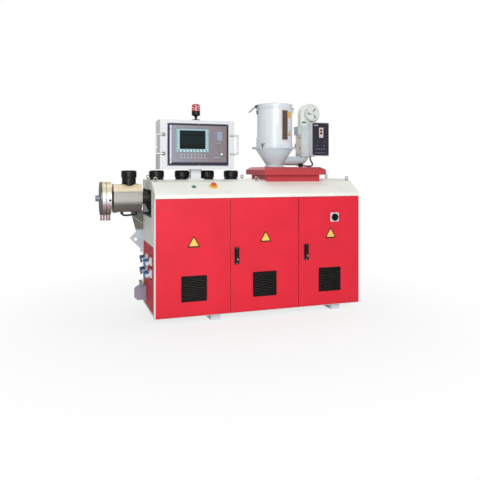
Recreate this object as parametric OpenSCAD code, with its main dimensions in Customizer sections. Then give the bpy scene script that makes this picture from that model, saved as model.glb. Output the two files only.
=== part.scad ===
// Single-screw plastic extruder with a hopper dryer and a swivelling control panel.
// Millimetres. +X runs along the machine from the die to the drive end, +Y to the back, +Z up.
// The machine is laid out from the front left corner of its cabinet, with the floor at zero,
// and every piece is then moved so that the origin lies under the middle of the whole.

/* [Cabinet] */
// Length of the cabinet
cab_l = 1800; // [1700:10:2000]
// Depth of the cabinet, front to back
cab_d = 655; // [640:5:700]
// Height of the red fronts, from the cabinet's underside to the hood
front_h = 941; // [900:1:1000]
// Sheet thickness of walls, floor and hood
sheet = 3; // [2:0.5:4]
// Height of the hood's upright front lip
lip_h = 27; // [20:1:40]
// Depth of the steep slope behind the lip
slope_run = 155; // [140:1:170]
// Rise of the steep slope
slope_rise = 98; // [80:1:120]
// Depth of the shallow facet above the slope
facet_run = 60; // [40:1:80]
// Rise of the shallow facet
facet_rise = 17; // [10:1:30]
// Flat edge of the hood's front sheet behind its upper fold, where the top plate begins
hood_flange = 20; // [10:1:40]

/* [Feet] */
// Height of the two foot rails
foot_h = 55; // [40:1:80]
// Width of a foot rail
foot_w = 80; // [60:1:100]
// Distance of a foot rail from the cabinet's front and back
foot_inset = 50; // [30:1:80]
// Centre of the left foot rail
foot_left_x = 501; // [450:1:560]
// Centre of the right foot rail
foot_right_x = 1592; // [1540:1:1640]

/* [Doors and front frame] */
// Left edge of the middle door's bay
bay_middle_x = 611; // [580:1:640]
// Left edge of the right door's bay
bay_right_x = 1216; // [1180:1:1240]
// Thickness of a door pan
door_t = 16; // [14:1:18]
// Distance from the doors' outer face to the frame behind them
frame_y = 20; // [19:1:24]
// Gap round a door
door_gap = 3; // [2:0.5:4]
// Sheet thickness of doors and covers
skin = 2; // [1.5:0.5:3]
// Width of a frame post
mullion_w = 40; // [30:1:60]
// Depth of a frame post
mullion_d = 30; // [20:1:40]
// Radius of a door's pivot pin
pin_r = 4; // [3:0.5:5]
// Reach of a pivot pin into the door
pin_l = 12; // [8:1:16]
// Radial play of pins in their bores
pin_play = 0.08; // [0.04:0.01:0.1]
// Distance of the pivot axis from the door's edge and from its face
pin_edge = 8; // [7:0.5:8]
// Width of the vents
vent_w = 208; // [160:1:240]
// Height of the vents
vent_h = 203; // [160:1:240]
// Height of a vent's middle above the cabinet's underside
vent_z = 223; // [180:1:260]
// Border of a vent
vent_rim = 12; // [8:1:20]
// Thickness of a vent's frame
vent_t = 4; // [3:0.5:6]
// Number of blades in a vent
vent_blades = 13; // [8:1:16]
// Height of a door handle
handle_h = 140; // [110:1:170]
// Width of a door handle
handle_w = 40; // [30:1:50]
// Height of a handle's middle above the cabinet's underside
handle_z = 467; // [420:1:520]
// Place of the middle door's handle along the machine
handle_middle_x = 667; // [650:1:700]
// Place of the right door's handle along the machine
handle_right_x = 1290; // [1260:1:1320]

/* [Main switch] */
// Place of the main switch along the machine
switch_x = 1557; // [1500:1:1640]
// Height of the main switch above the cabinet's underside
switch_z = 757; // [700:1:800]
// Side of the switch's square plate
switch_plate = 78; // [70:1:100]
// Thickness of the switch's plate
switch_t = 6; // [4:0.5:8]
// Radius of the knob's disc
knob_r = 30; // [28:1:38]
// Reach of the knob in front of its plate
knob_out = 32; // [24:1:36]

/* [Operator buttons] */
// Place of the start button along the machine
start_x = 331; // [250:1:360]
// Place of the stop button along the machine
stop_x = 497; // [440:1:560]
// Distance of the start button up the slope
start_up = 108; // [60:1:140]
// Distance of the stop button up the slope
stop_up = 116; // [70:1:130]
// Radius of the start button
start_r = 15; // [12:0.5:18]
// Radius of the yellow plate under the stop button
stop_plate_r = 38; // [34:1:44]
// Radius of the stop button's head
stop_r = 23; // [20:1:28]

/* [Barrel line] */
// Height of the barrel's axis above the floor
axis_z = 989; // [970:1:1010]
// Distance of the barrel's axis from the front
axis_y = 345; // [320:1:370]
// Radius of the barrel over its heater bands
barrel_r = 58; // [50:1:64]
// Radius of the barrel's bore
bore_r = 25; // [22:0.5:28]
// Radial play of the screw in the bore
screw_play = 0.4; // [0.3:0.05:0.8]
// Reach of the screw's tip in front of the die flange
tip_out = 35; // [20:1:60]
// Distance of the die flange's face from the cabinet's end
die_out = 392; // [360:1:420]
// Radius of the two clamp discs
clamp_r = 134; // [120:1:150]
// Thickness of the front clamp disc
clamp_front_t = 42; // [35:1:50]
// Thickness of the rear clamp disc
clamp_rear_t = 40; // [35:1:50]
// Seam between the two clamp discs
clamp_seam = 3; // [2:0.5:5]
// Radius of the bolts under the discs
clamp_bolt_r = 18; // [14:1:19]
// Depth of the bolts' lower ends under the barrel's axis
clamp_bolt_drop = 181; // [165:1:200]

/* [Barrel guard] */
// Width of the eight-sided guard across its flats
guard_af = 222; // [200:1:240]
// Distance of the guard's shell from the cabinet, at its outer end
guard_out = 260; // [250:1:270]
// Gap between the guard and the cabinet's end
guard_gap = 63; // [50:1:80]
// Sheet thickness of the guard
guard_t = 2; // [1.5:0.5:3]
// Width of the guard's end rims across their flats, beyond the guard
guard_lip = 12; // [6:1:16]
// Length of the guard's end rims
guard_rim_l = 30; // [20:1:34]

/* [Cooling stacks] */
// Radius of a stack's cap
stack_r = 63; // [55:1:70]
// Radius of a stack's stem
stem_r = 57; // [50:1:62]
// Height of a stack's cap
stack_cap_h = 53; // [40:1:60]
// Height of the stacks' tops above the floor
stack_top = 1216; // [1206:1:1216]
// Place of the stack on the guard, from the cabinet's end
stack_guard_out = 159; // [140:1:180]
// Place of the first stack on the hood
stack_x = 70; // [66:1:100]
// Distance between the stacks
stack_pitch = 218; // [200:1:240]

/* [End wall] */
// Front edge of the opening in the end wall
mouth_y = 196; // [180:1:210]
// Width of the opening in the end wall
mouth_w = 420; // [300:1:430]
// Height of the opening's lower edge above the floor
mouth_z = 844; // [820:1:860]
// Height of the opening in the end wall
mouth_h = 203; // [200:1:220]
// Top of the red end panel above the floor
panel_top = 605; // [560:1:660]
// Distance of the red end panel from the front
panel_in = 70; // [50:1:90]
// Distance of the red end panel from the back
panel_back = 59; // [54:1:80]
// Reach of a socket from the end panel
socket_out = 62; // [50:1:80]
// Radius of a socket's body
socket_r = 26; // [20:1:28]

/* [Control box] */
// Place of the post along the machine
post_x = 381; // [370:1:390]
// Distance of the post from the front
post_y = 254; // [253:1:256]
// Width of the post
post_w = 86; // [60:1:90]
// Depth of the post
post_d = 50; // [40:1:60]
// Width of the control box
box_w = 630; // [600:1:660]
// Height of the control box
box_h = 405; // [380:1:430]
// Depth of the control box
box_d = 206; // [180:1:210]
// Distance of the control box's front from the post's axis
box_front = 92; // [84:1:100]
// Height of the control box's underside above the floor
box_z = 1226; // [1222:1:1240]
// Width of the operator panel
panel_w = 486; // [460:1:500]
// Height of the operator panel
panel_h = 316; // [290:1:320]
// Border of the dark frame round the operator panel
panel_rim = 15; // [10:1:20]
// Distance from the box's right edge to the dark frame
panel_right = 52; // [40:1:60]

/* [Hopper] */
// Place of the hopper along the machine
hopper_x = 1135; // [1120:1:1160]
// Radius of the hopper
hopper_r = 162; // [150:1:175]
// Sheet thickness of the hopper
hopper_t = 2.5; // [2:0.5:4]
// Radius of the cone's mouth
cone_r = 67; // [60:1:72]
// Height of the cone
cone_h = 154; // [140:1:180]
// Radius of the ring between cone and hopper
ring_r = 182; // [174:1:190]
// Height of the ring
ring_h = 18; // [14:1:28]
// Height of the hopper's straight part
hopper_h = 342; // [330:1:370]
// Height of the lid's rim
lid_h = 38; // [34:1:46]
// Height of the lid's dome and knob above its rim
knob_h = 28; // [20:1:34]
// Width of the sight window
sight_w = 50; // [40:1:60]
// Height of the sight window
sight_h = 252; // [220:1:270]
// Turn of the sight window from the front
sight_turn = 13.5; // [0:0.5:20]

/* [Hopper stand] */
// Height of the stand's upper plate above the floor
stand_z = 1178; // [1170:1:1190]
// Height of the stand's upper plate
stand_plate_h = 68; // [50:1:80]
// Left end of the stand's upper plate
stand_x = 951; // [930:1:970]
// Length of the stand's upper plate
stand_l = 578; // [560:1:600]
// Front edge of the stand's upper plate
stand_y = 99; // [90:1:110]
// Depth of the stand's upper plate
stand_d = 491; // [480:1:500]
// Overhang of the upper plate at its ends
stand_over_x = 38; // [30:1:50]
// Overhang of the upper plate at front and back
stand_over_y = 53; // [50:1:70]

/* [Dryer] */
// Left side of the heater box
heater_x = 1376; // [1370:1:1390]
// Width of the heater box
heater_w = 130; // [125:1:150]
// Height of the heater box's underside above the floor
heater_z = 1342; // [1336:1:1350]
// Height of the heater box
heater_h = 278; // [260:1:290]
// Radius of the hot air pipe
pipe_r = 46; // [40:1:47]
// Height of the hot air pipe's axis above the floor
pipe_z = 1308; // [1300:1:1310]
// Distance of the pipe's upright leg from the heater's left side
pipe_in = 48; // [48:1:60]
// Radius of the blower's scroll
scroll_r = 96; // [90:1:100]
// Width of the blower's scroll
scroll_w = 64; // [56:1:70]
// Height of the blower's axis above the heater box
scroll_up = 113; // [110:1:120]
// Distance of the blower's axis from the heater's left side
scroll_in = 105; // [100:1:106]
// Radius of the blower's motor cap
cap_r = 64; // [58:1:70]
// Reach of the blower's motor cap
cap_l = 48; // [40:1:60]
// Left side of the dryer's control box, from the heater's left side
dryer_in = 71; // [60:1:80]
// Width of the dryer's control box
dryer_w = 172; // [160:1:180]
// Depth of the dryer's control box
dryer_d = 65; // [50:1:80]
// Height of the dryer's control box
dryer_h = 303; // [280:1:320]

/* [Hidden] */
$fa = 6;
$fs = 1.5;
// Clearance of pieces that seat on a curved face
seat = 0.3;
// Overshoot of a cut past the face it goes through
past = 1;

// Levels above the floor
floor_top = foot_h + sheet;
lip_z = foot_h + front_h;
rail_z = lip_z - sheet;
slope_z = lip_z + lip_h;
facet_z = slope_z + slope_rise;
hood_z = facet_z + facet_rise;
flat_y = slope_run + facet_run;
slope_tilt = atan(slope_rise / slope_run);

// Fronts
bay_x = [0, bay_middle_x, bay_right_x, cab_l];
vent_x = [311, 911, 1511];
handle_x = [0, handle_middle_x, handle_right_x];
front_z0 = floor_top + door_gap;
front_top = rail_z - door_gap;
pan_h = front_top - front_z0;
function pan_w(i) = bay_x[i + 1] - bay_x[i] - 2 * door_gap;
vent_mid = foot_h + vent_z;
handle_mid = foot_h + handle_z;

// Barrel line, measured along X from the cabinet's end
die_x = -die_out;
seam_x = die_x + clamp_front_t;
rear_x = seam_x + clamp_seam;
tip_x = die_x - tip_out;
barrel_end = hopper_x + 110;
screw_r = bore_r - screw_play;
feed_r = 20;
feed_l = 190;
throat_r = 45;
throat_w = 2 * throat_r;
cone_flare = 6;

// Hopper levels
stand_top = stand_z + stand_plate_h;
cone_foot_t = 8;
cone_z = stand_top + cone_foot_t;
ring_z = cone_z + cone_h;
shell_z = ring_z + ring_h;
lid_z = shell_z + hopper_h;
lid_top = lid_z + lid_h;
hinge_x = hopper_x + hopper_r + 16;
hinge_z = lid_z + 8;

// Dryer
heater_d = heater_w;
heater_y = axis_y - heater_d / 2;
heater_top = heater_z + heater_h;
blower_x = heater_x + scroll_in;
blower_z = heater_top + scroll_up;
elbow_x = heater_x + pipe_in;
elbow_bend = pipe_r + 4;

// Control box
box_x = post_x - box_w / 2;
box_y = post_y - box_front;
frame_w = panel_w + 2 * panel_rim;
frame_h = panel_h + 2 * panel_rim;
frame_x = box_x + box_w - panel_right - frame_w;
frame_z = box_z + (box_h - frame_h) / 2;
panel_out = 5;

// Corners of the whole machine
left_end = tip_x;
front_end = -(switch_t + knob_out);
mid_x = (left_end + cab_l) / 2;
mid_y = (front_end + cab_d) / 2;

// Helpers

// Moves the machine from its layout corner to its own origin
module at_origin() {
    translate([-mid_x, -mid_y, 0]) children();
}

// Runs an outline drawn in Y and Z along X
module along_x(x0, x1) {
    translate([x0, 0, 0]) rotate([90, 0, 90]) linear_extrude(x1 - x0) children();
}

// Runs an outline drawn in X and Z along Y
module along_y(y0, y1) {
    translate([0, y1, 0]) rotate([90, 0, 0]) linear_extrude(y1 - y0) children();
}

// A round bar or hole along X
module rod_x(x0, x1, r) {
    translate([x0, 0, 0]) rotate([0, 90, 0]) cylinder(h = x1 - x0, r = r);
}

// A round bar or hole along Y
module rod_y(y0, y1, r) {
    translate([0, y0, 0]) rotate([-90, 0, 0]) cylinder(h = y1 - y0, r = r);
}

// Puts a child on the steep slope, its +Z along the slope's normal
module on_slope(x, up) {
    translate([x, up * cos(slope_tilt), slope_z + up * sin(slope_tilt)]) rotate([slope_tilt, 0, 0]) children();
}

// Puts a child on the barrel's axis
module on_axis() {
    translate([0, axis_y, axis_z]) children();
}

// Puts a child on the hopper's axis
module on_hopper() {
    translate([hopper_x, axis_y, 0]) children();
}

// A plate in the XZ plane with round corners, y from 0 to -t
module round_plate(w, h, t, r) {
    rotate([90, 0, 0]) linear_extrude(t) round_rect(w, h, r);
}

// A rectangle about the origin with round corners
module round_rect(w, h, r) {
    square([w - 2 * r, h], center = true);
    square([w, h - 2 * r], center = true);
    for (sx = [-1, 1], sy = [-1, 1]) translate([sx * (w / 2 - r), sy * (h / 2 - r)]) circle(r);
}

function unit(v) = v / norm(v);
function right_of(v) = [v[1], -v[0]];

// The point on the inner side of a folded sheet at corner i of its outer line
function inner_point(line, i, t) =
    i == 0 ? line[0] + t * right_of(unit(line[1] - line[0])) :
    i == len(line) - 1 ? line[i] + t * right_of(unit(line[i] - line[i - 1])) :
    let (a = right_of(unit(line[i] - line[i - 1])), b = right_of(unit(line[i + 1] - line[i])))
        line[i] + t * (a + b) / (1 + a * b);

// The closed outline of a sheet of thickness t, folded along an outer line
function folded(line, t) =
    concat(line, [for (i = [len(line) - 1:-1:0]) inner_point(line, i, t)]);

// The hood's outer line in Y and Z, up to its upper fold and as a whole
fold_line = [[0, lip_z], [0, slope_z], [slope_run, facet_z], [flat_y, hood_z]];
hood_line = concat(fold_line, [[cab_d, hood_z]]);
edge_y = flat_y + hood_flange;
top_plate_y = edge_y + seat;

// The whole body under the hood's outer line, for cutting what stands on the hood
module under_hood() {
    along_x(-past, cab_l + past) polygon(concat(hood_line, [[cab_d, lip_z]]));
}

// A swept round tube through the points of a route
function ring_points(route, i, r, sides) =
    let (
        ahead = route[min(i + 1, len(route) - 1)],
        behind = route[max(i - 1, 0)],
        d = unit(ahead - behind),
        side = unit(cross(d, abs(d[2]) > 0.9 ? [1, 0, 0] : [0, 0, 1])),
        up = cross(side, d)
    )
    [for (k = [0:sides - 1]) route[i] + r * (cos(360 * k / sides) * side + sin(360 * k / sides) * up)];

module swept_tube(route, r, sides) {
    n = len(route);
    points = [for (i = [0:n - 1]) each ring_points(route, i, r, sides)];
    walls = [for (i = [0:n - 2], k = [0:sides - 1])
        [i * sides + k, i * sides + (k + 1) % sides, (i + 1) * sides + (k + 1) % sides, (i + 1) * sides + k]];
    start = [for (k = [sides - 1:-1:0]) k];
    end = [for (k = [0:sides - 1]) (n - 1) * sides + k];
    polyhedron(points, concat(walls, [start, end]));
}

// Points on a smooth curve through hand-chosen points, n steps between two of them
function smooth_at(p, i, t) =
    let (
        a = p[max(i - 1, 0)], b = p[i], c = p[i + 1], d = p[min(i + 2, len(p) - 1)],
        t2 = t * t, t3 = t2 * t
    )
    0.5 * (2 * b + (c - a) * t + (2 * a - 5 * b + 4 * c - d) * t2 + (3 * b - a - 3 * c + d) * t3);
function smooth(p, n) =
    concat([for (i = [0:len(p) - 2], k = [0:n - 1]) smooth_at(p, i, k / n)], [p[len(p) - 1]]);

// Cabinet

module feet() {
    color("lightsteelblue") at_origin() {
        for (x = [foot_left_x, foot_right_x])
            translate([x - foot_w / 2, foot_inset, 0]) cube([foot_w, cab_d - 2 * foot_inset, foot_h]);
    }
}

// Floor of the cabinet, with the lower pivot pins of the two doors
module floor_pan() {
    color("ivory") at_origin() {
        translate([0, 0, foot_h]) cube([cab_l, cab_d, sheet]);
        for (i = [2, 3]) pivot(i) cylinder(h = door_gap + pin_l, r = pin_r);
    }
}

// Puts a child at the foot of the pivot axis of the door that ends at bay i
module pivot(i) {
    translate([bay_x[i] - door_gap - pin_edge, pin_edge, floor_top]) children();
}

// Posts and rails behind the fronts; the top rail carries the upper pivot pins
module front_frame() {
    color("ivory") at_origin() {
        frame_posts();
        translate([sheet, 0, rail_z]) cube([cab_l - 2 * sheet, frame_y + mullion_d, sheet]);
        for (i = [2, 3])
            translate([0, 0, rail_z - floor_top - door_gap - pin_l])
                pivot(i) cylinder(h = door_gap + pin_l, r = pin_r);
    }
}

module frame_posts() {
    post_h = rail_z - floor_top;
    for (x = [sheet, bay_x[1] - mullion_w / 2, bay_x[2] - mullion_w / 2, cab_l - sheet - mullion_w])
        translate([x, frame_y, floor_top]) cube([mullion_w, mullion_d, post_h]);
}

module back_wall() {
    color("ivory") at_origin()
        translate([sheet, cab_d - sheet, floor_top])
            cube([cab_l - 2 * sheet, sheet, hood_z - sheet - floor_top]);
}

// Outline of an end wall in Y and Z
module end_outline() {
    polygon(concat(hood_line, [[cab_d, floor_top], [frame_y, floor_top], [frame_y, rail_z], [0, rail_z]]));
}

module end_wall_left() {
    color("ivory") at_origin() difference() {
        along_x(0, sheet) end_outline();
        translate([-past, mouth_y, mouth_z]) cube([sheet + 2 * past, mouth_w, mouth_h]);
    }
}

module end_wall_right() {
    color("ivory") at_origin() along_x(cab_l - sheet, cab_l) end_outline();
}

// Red sheet screwed on the lower part of the left end wall
module end_panel() {
    color("crimson") at_origin()
        translate([-skin, panel_in, floor_top + 17])
            cube([skin, cab_d - panel_in - panel_back, panel_top - floor_top - 17]);
}

// Rubber edging round the opening in the end wall
module mouth_trim() {
    trim_w = 10;
    trim_t = 4;
    color("dimgray") at_origin() translate([-trim_t, mouth_y, mouth_z]) difference() {
        translate([0, -trim_w, -trim_w]) cube([trim_t, mouth_w + 2 * trim_w, mouth_h + 2 * trim_w]);
        translate([-past, 0, 0]) cube([trim_t + 2 * past, mouth_w, mouth_h]);
    }
}

// A sheet pan, open to the back, with a hole behind its vent
module pan(i, depth) {
    vent_in = vent_x[i] - bay_x[i] - door_gap;
    difference() {
        cube([pan_w(i), depth, pan_h]);
        translate([skin, skin, skin]) cube([pan_w(i) - 2 * skin, depth, pan_h - 2 * skin]);
        translate([vent_in - vent_w / 2 + vent_rim, -past, vent_mid - front_z0 - vent_h / 2 + vent_rim])
            cube([vent_w - 2 * vent_rim, skin + 2 * past, vent_h - 2 * vent_rim]);
    }
}

// Puts a child at the lower left corner of the front in bay i
module at_front(i) {
    translate([bay_x[i] + door_gap, 0, front_z0]) children();
}

// The fixed cover of the left bay reaches back to the frame
module front_cover() {
    color("crimson") at_origin() at_front(0) pan(0, frame_y);
}

// A door with a bored block at both ends of its pivot edge
module door(i) {
    block = 2 * pin_edge;
    block_h = pin_l + 8;
    at_front(i) difference() {
        union() {
            pan(i, door_t);
            for (z = [0, pan_h - block_h]) translate([pan_w(i) - block, 0, z]) cube([block, door_t, block_h]);
        }
        for (z = [-past, pan_h - pin_l - past])
            translate([pan_w(i) - pin_edge, pin_edge, z]) cylinder(h = pin_l + 2 * past, r = pin_r + pin_play);
    }
}

module door_middle() {
    color("crimson") at_origin() door(1);
}

module door_right() {
    color("crimson") at_origin() difference() {
        door(2);
        translate([switch_x, 0, foot_h + switch_z]) rod_y(-past, skin + past, spindle_r + seat + 1);
    }
}

// A framed grille of slanting blades on the outside of a front
module vent(i) {
    pitch = (vent_h - 2 * vent_rim) / vent_blades;
    inset = 0.5;
    rise = pitch * 0.65;
    blade = [[inset, 1], [vent_t - inset, rise], [vent_t - inset, rise + 1.5], [inset, 2.5]];
    translate([vent_x[i] - vent_w / 2, -vent_t, vent_mid - vent_h / 2]) {
        difference() {
            cube([vent_w, vent_t, vent_h]);
            translate([vent_rim, -past, vent_rim])
                cube([vent_w - 2 * vent_rim, vent_t + 2 * past, vent_h - 2 * vent_rim]);
        }
        for (k = [0:vent_blades - 1])
            translate([0, 0, vent_rim + k * pitch])
                along_x(vent_rim - past, vent_w - vent_rim + past) polygon(blade);
    }
}

module vent_left() {
    color("black") at_origin() vent(0);
}

module vent_middle() {
    color("black") at_origin() vent(1);
}

module vent_right() {
    color("black") at_origin() vent(2);
}

// A swing handle: an oblong base with a raised lever
module swing_handle(i) {
    base_t = 6;
    lever_w = handle_w * 0.6;
    lever_h = handle_h * 0.72;
    translate([handle_x[i], 0, handle_mid]) {
        round_plate(handle_w, handle_h, base_t, handle_w / 4);
        translate([0, 0, handle_h * 0.08]) round_plate(lever_w, lever_h, base_t * 3.4, lever_w / 3);
        translate([0, 0, handle_h * 0.08 - lever_h / 2 + lever_w / 2]) rod_y(-base_t * 4, 0, lever_w / 2 - 1);
    }
}

module handle_middle() {
    color("black") at_origin() swing_handle(1);
}

module handle_right() {
    color("black") at_origin() swing_handle(2);
}

spindle_r = 6;

module switch_plate() {
    color("gainsboro") at_origin() translate([switch_x, 0, foot_h + switch_z]) difference() {
        round_plate(switch_plate, switch_plate, switch_t, 10);
        rod_y(-switch_t - past, past, spindle_r + seat);
    }
}

// Disc, grip and spindle turn together in the plate
module switch_knob() {
    disc_t = 12;
    grip_w = 15;
    color("black") at_origin() translate([switch_x, 0, foot_h + switch_z]) {
        translate([0, -switch_t - seat, 0]) rod_y(-disc_t, 0, knob_r);
        rod_y(-switch_t - disc_t / 2, skin, spindle_r);
        translate([0, -switch_t - disc_t / 2, 0])
            round_plate(grip_w, 2 * knob_r - 8, knob_out - disc_t / 2, grip_w / 3);
    }
}

// The square way of the pellets from the hopper down to the barrel, for cutting
module throat(z0, z1) {
    on_hopper() translate([-throat_w / 2, -throat_w / 2, z0]) cube([throat_w, throat_w, z1 - z0]);
}

// Flat top plate of the hood with the way of the pellets
module hood_top() {
    color("ivory") at_origin() difference() {
        translate([sheet, top_plate_y, hood_z - sheet])
            cube([cab_l - 2 * sheet, cab_d - top_plate_y, sheet]);
        throat(hood_z - sheet - past, hood_z + past);
    }
}

// Folded front sheet of the hood with its lip, slope, facet and upper edge
module hood() {
    color("ivory") at_origin() difference() {
        along_x(sheet, cab_l - sheet) polygon(folded(concat(fold_line, [[edge_y, hood_z]]), sheet));
        on_slope(start_x, start_up) button_hole(start_r + 1);
        on_slope(stop_x, stop_up) button_hole(stop_stem_r + 1);
    }
}

// A round hole through the sheet of the slope, for cutting
module button_hole(r) {
    translate([0, 0, -sheet - past]) cylinder(h = sheet + 2 * past, r = r);
}

// Ring bolts on the hood, their feet cut to its slope
module lifting_eyes() {
    eye_in = 30;
    places = [[165, facet_z + 3], [cab_d - 97, hood_z]];
    eye_wire = 4.5;
    eye_r = 12.5;
    foot_t = 8;
    color("darkgray") at_origin() difference() {
        for (x = [eye_in, cab_l / 2, cab_l - eye_in], place = places)
            translate([x, place[0], place[1]]) {
                translate([0, 0, -20]) cylinder(h = 20 + foot_t, r = 10);
                translate([0, 0, foot_t + eye_r + eye_wire - 1]) rotate([90, 0, 0])
                    rotate_extrude() translate([eye_r, 0]) circle(eye_wire);
            }
        under_hood();
    }
}

// Post of the control box with its foot plate and head plate
module post() {
    foot_plate = [140, 74, 8];
    head_r = 55;
    head_t = 8;
    color("white") at_origin() translate([post_x, post_y, 0]) {
        translate([-foot_plate[0] / 2, -foot_plate[1] / 2, hood_z]) cube(foot_plate);
        translate([-post_w / 2, -post_d / 2, hood_z]) cube([post_w, post_d, box_z - seat - hood_z]);
        translate([0, 0, box_z - seat - head_t]) cylinder(h = head_t, r = head_r);
    }
}

// Start and stop buttons

stop_stem_r = 9;
bezel_t = 4;
stop_collar_h = 9;

module start_bezel() {
    color("silver") at_origin() on_slope(start_x, start_up) difference() {
        cylinder(h = bezel_t, r = start_r + 5);
        translate([0, 0, -past]) cylinder(h = bezel_t + 2 * past, r = start_r + seat);
    }
}

module start_button() {
    color("seagreen") at_origin() on_slope(start_x, start_up)
        translate([0, 0, -sheet]) cylinder(h = sheet + bezel_t + 5, r = start_r);
}

module stop_plate() {
    color("khaki") at_origin() on_slope(stop_x, stop_up) difference() {
        union() {
            cylinder(h = 3, r = stop_plate_r);
            cylinder(h = stop_collar_h, r = stop_stem_r + 6);
        }
        translate([0, 0, -past]) cylinder(h = stop_collar_h + 2 * past, r = stop_stem_r + seat);
    }
}

// Mushroom head on its stem
module stop_button() {
    head_z = stop_collar_h + 6;
    head_h = 14;
    color("tomato") at_origin() on_slope(stop_x, stop_up) {
        translate([0, 0, -sheet]) cylinder(h = head_z + sheet + 1, r = stop_stem_r);
        translate([0, 0, head_z]) rotate_extrude() polygon([
            [0, 0], [stop_r - 3, 0], [stop_r, 4],
            [stop_r - 1, head_h - 4], [stop_r - 6, head_h - 1], [0, head_h]]);
    }
}

// Control box

module control_box() {
    color("white") at_origin() translate([box_x + box_w / 2, box_y + box_d / 2, box_z]) difference() {
        linear_extrude(box_h) round_rect(box_w, box_d, 6);
        translate([frame_x - box_x - box_w / 2, -box_d / 2 - past, frame_z - box_z])
            cube([frame_w, panel_sunk + past, frame_h]);
    }
}

panel_sunk = 4;

// Dark frame let into the front of the control box
module panel_frame() {
    color("darkslategray") at_origin() translate([frame_x, box_y - panel_out, frame_z]) difference() {
        cube([frame_w, panel_out + panel_sunk, frame_h]);
        translate([panel_rim, -past, panel_rim]) cube([panel_w, panel_out + past, panel_h]);
    }
}

// Operator panel with its raised screen frame and key row
module operator_panel() {
    screen = [270, 188];
    glass = [218, 153];
    key = 20;
    color("gray") at_origin() translate([frame_x + panel_rim, box_y - panel_out + 2, frame_z + panel_rim]) {
        cube([panel_w, panel_out - 2, panel_h]);
        translate([screen_in, -3, screen_up]) difference() {
            cube([screen[0], 3 + past, screen[1]]);
            translate([(screen[0] - glass[0]) / 2, -past, screen[1] - glass[1] - 10])
                cube([glass[0], 2 + past, glass[1]]);
        }
        for (k = [0:7]) translate([screen_in + 16 + k * 31, -3, screen_up - key - 12])
            cube([key, 3 + past, key * 0.6]);
    }
}

screen_in = 58;
screen_up = 96;

// Grips bolted to the front of the control box that reach round its ends
module box_handles() {
    grip_l = 168;
    grip_r = 7;
    foot_in = 30;
    reach = foot_in + 27;
    stand_off = 12;
    mid_z = box_z + 204;
    color("silver") at_origin() for (side = [-1, 1])
        translate([post_x + side * (box_w / 2 - foot_in), box_y - stand_off, mid_z]) {
            translate([side * reach, 0, -grip_l / 2]) cylinder(h = grip_l, r = grip_r);
            for (z = [-1, 1]) translate([0, 0, z * (grip_l / 2 - grip_r)]) {
                rotate([0, side * 90, 0]) cylinder(h = reach, r = grip_r * 0.85);
                rod_y(0, stand_off, grip_r * 1.3);
                sphere(grip_r * 1.3);
            }
        }
}

// Puts a child on top of the control box where the beacon stands
module at_beacon() {
    translate([post_x - 8, box_y + beacon_in, box_z + box_h]) children();
}

// Stem and body of the beacon
module beacon_base() {
    color("black") at_origin() at_beacon() rotate_extrude()
        polygon([[0, 0], [beacon_r, 0], [beacon_r, 3], [14, 9], [10, 16], [10, 28], [17, 36],
            [beacon_r - 1, 42], [beacon_r, 46], [beacon_r, beacon_base_h], [0, beacon_base_h]]);
}

beacon_r = 35;
beacon_in = 36;
beacon_base_h = 76;

module beacon_lens() {
    h = 60;
    color("red") at_origin() at_beacon() translate([0, 0, beacon_base_h]) rotate_extrude()
        polygon([[0, 0], [beacon_r - 1, 0], [beacon_r - 1, h - 12], [beacon_r - 3, h - 6],
            [beacon_r - 7, h - 2], [beacon_r - 13, h], [0, h]]);
}

// Barrel line

// Barrel with its bore and the feed hole under the hopper
module barrel() {
    band_w = 90;
    band_t = 6;
    band_x = [-246, -150, 24, 136, 248, 360, 472, 584, 696, 808, 920];
    color("dimgray") at_origin() difference() {
        on_axis() {
            rod_x(seam_x, barrel_end, barrel_r - band_t);
            for (x = band_x) rod_x(x, x + band_w, barrel_r);
            rod_x(hopper_x - feed_l / 2, barrel_end, barrel_r);
        }
        on_axis() rod_x(seam_x - past, barrel_end + past, bore_r);
        on_hopper() translate([0, 0, axis_z]) cylinder(h = barrel_r + past, r = feed_r);
    }
}

// Screw with its cylindrical tip
module screw() {
    color("lightgray") at_origin() on_axis() {
        rod_x(tip_x, seam_x + 60, screw_r);
        rod_x(seam_x + 50, barrel_end + 20, screw_r * 0.72);
        rod_x(barrel_end - 40, barrel_end + 20, screw_r);
    }
}

module clamp_front() {
    color("silver") at_origin() on_axis() difference() {
        rod_x(die_x, seam_x, clamp_r);
        rod_x(die_x - past, seam_x + past, bore_r);
    }
}

module clamp_rear() {
    hole_r = 8;
    color("silver") at_origin() on_axis() difference() {
        rod_x(rear_x, rear_x + clamp_rear_t, clamp_r);
        rod_x(rear_x - past, rear_x + clamp_rear_t + past, barrel_r - 6 + seat);
        translate([rear_x + clamp_rear_t * 0.55, 0, -30]) rod_y(-clamp_r - past, -clamp_r + 30, hole_r);
    }
}

// Bolts that stand under the two discs, cut to their rims
module clamp_bolts() {
    color("rosybrown") at_origin() on_axis() for (x = [die_x + clamp_front_t / 2, rear_x + clamp_rear_t / 2])
        difference() {
            translate([x, 0, -clamp_bolt_drop]) cylinder(h = clamp_bolt_drop - clamp_r + 20, r = clamp_bolt_r);
            rod_x(x - clamp_bolt_r - past, x + clamp_bolt_r + past, clamp_r);
        }
}

// An eight-sided bar along X with level flats at top and bottom
module octagon_x(x0, x1, af) {
    translate([x0, 0, 0]) rotate([0, 90, 0]) rotate([0, 0, 22.5])
        cylinder(h = x1 - x0, r = af / 2 / cos(22.5), $fn = 8);
}

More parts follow.
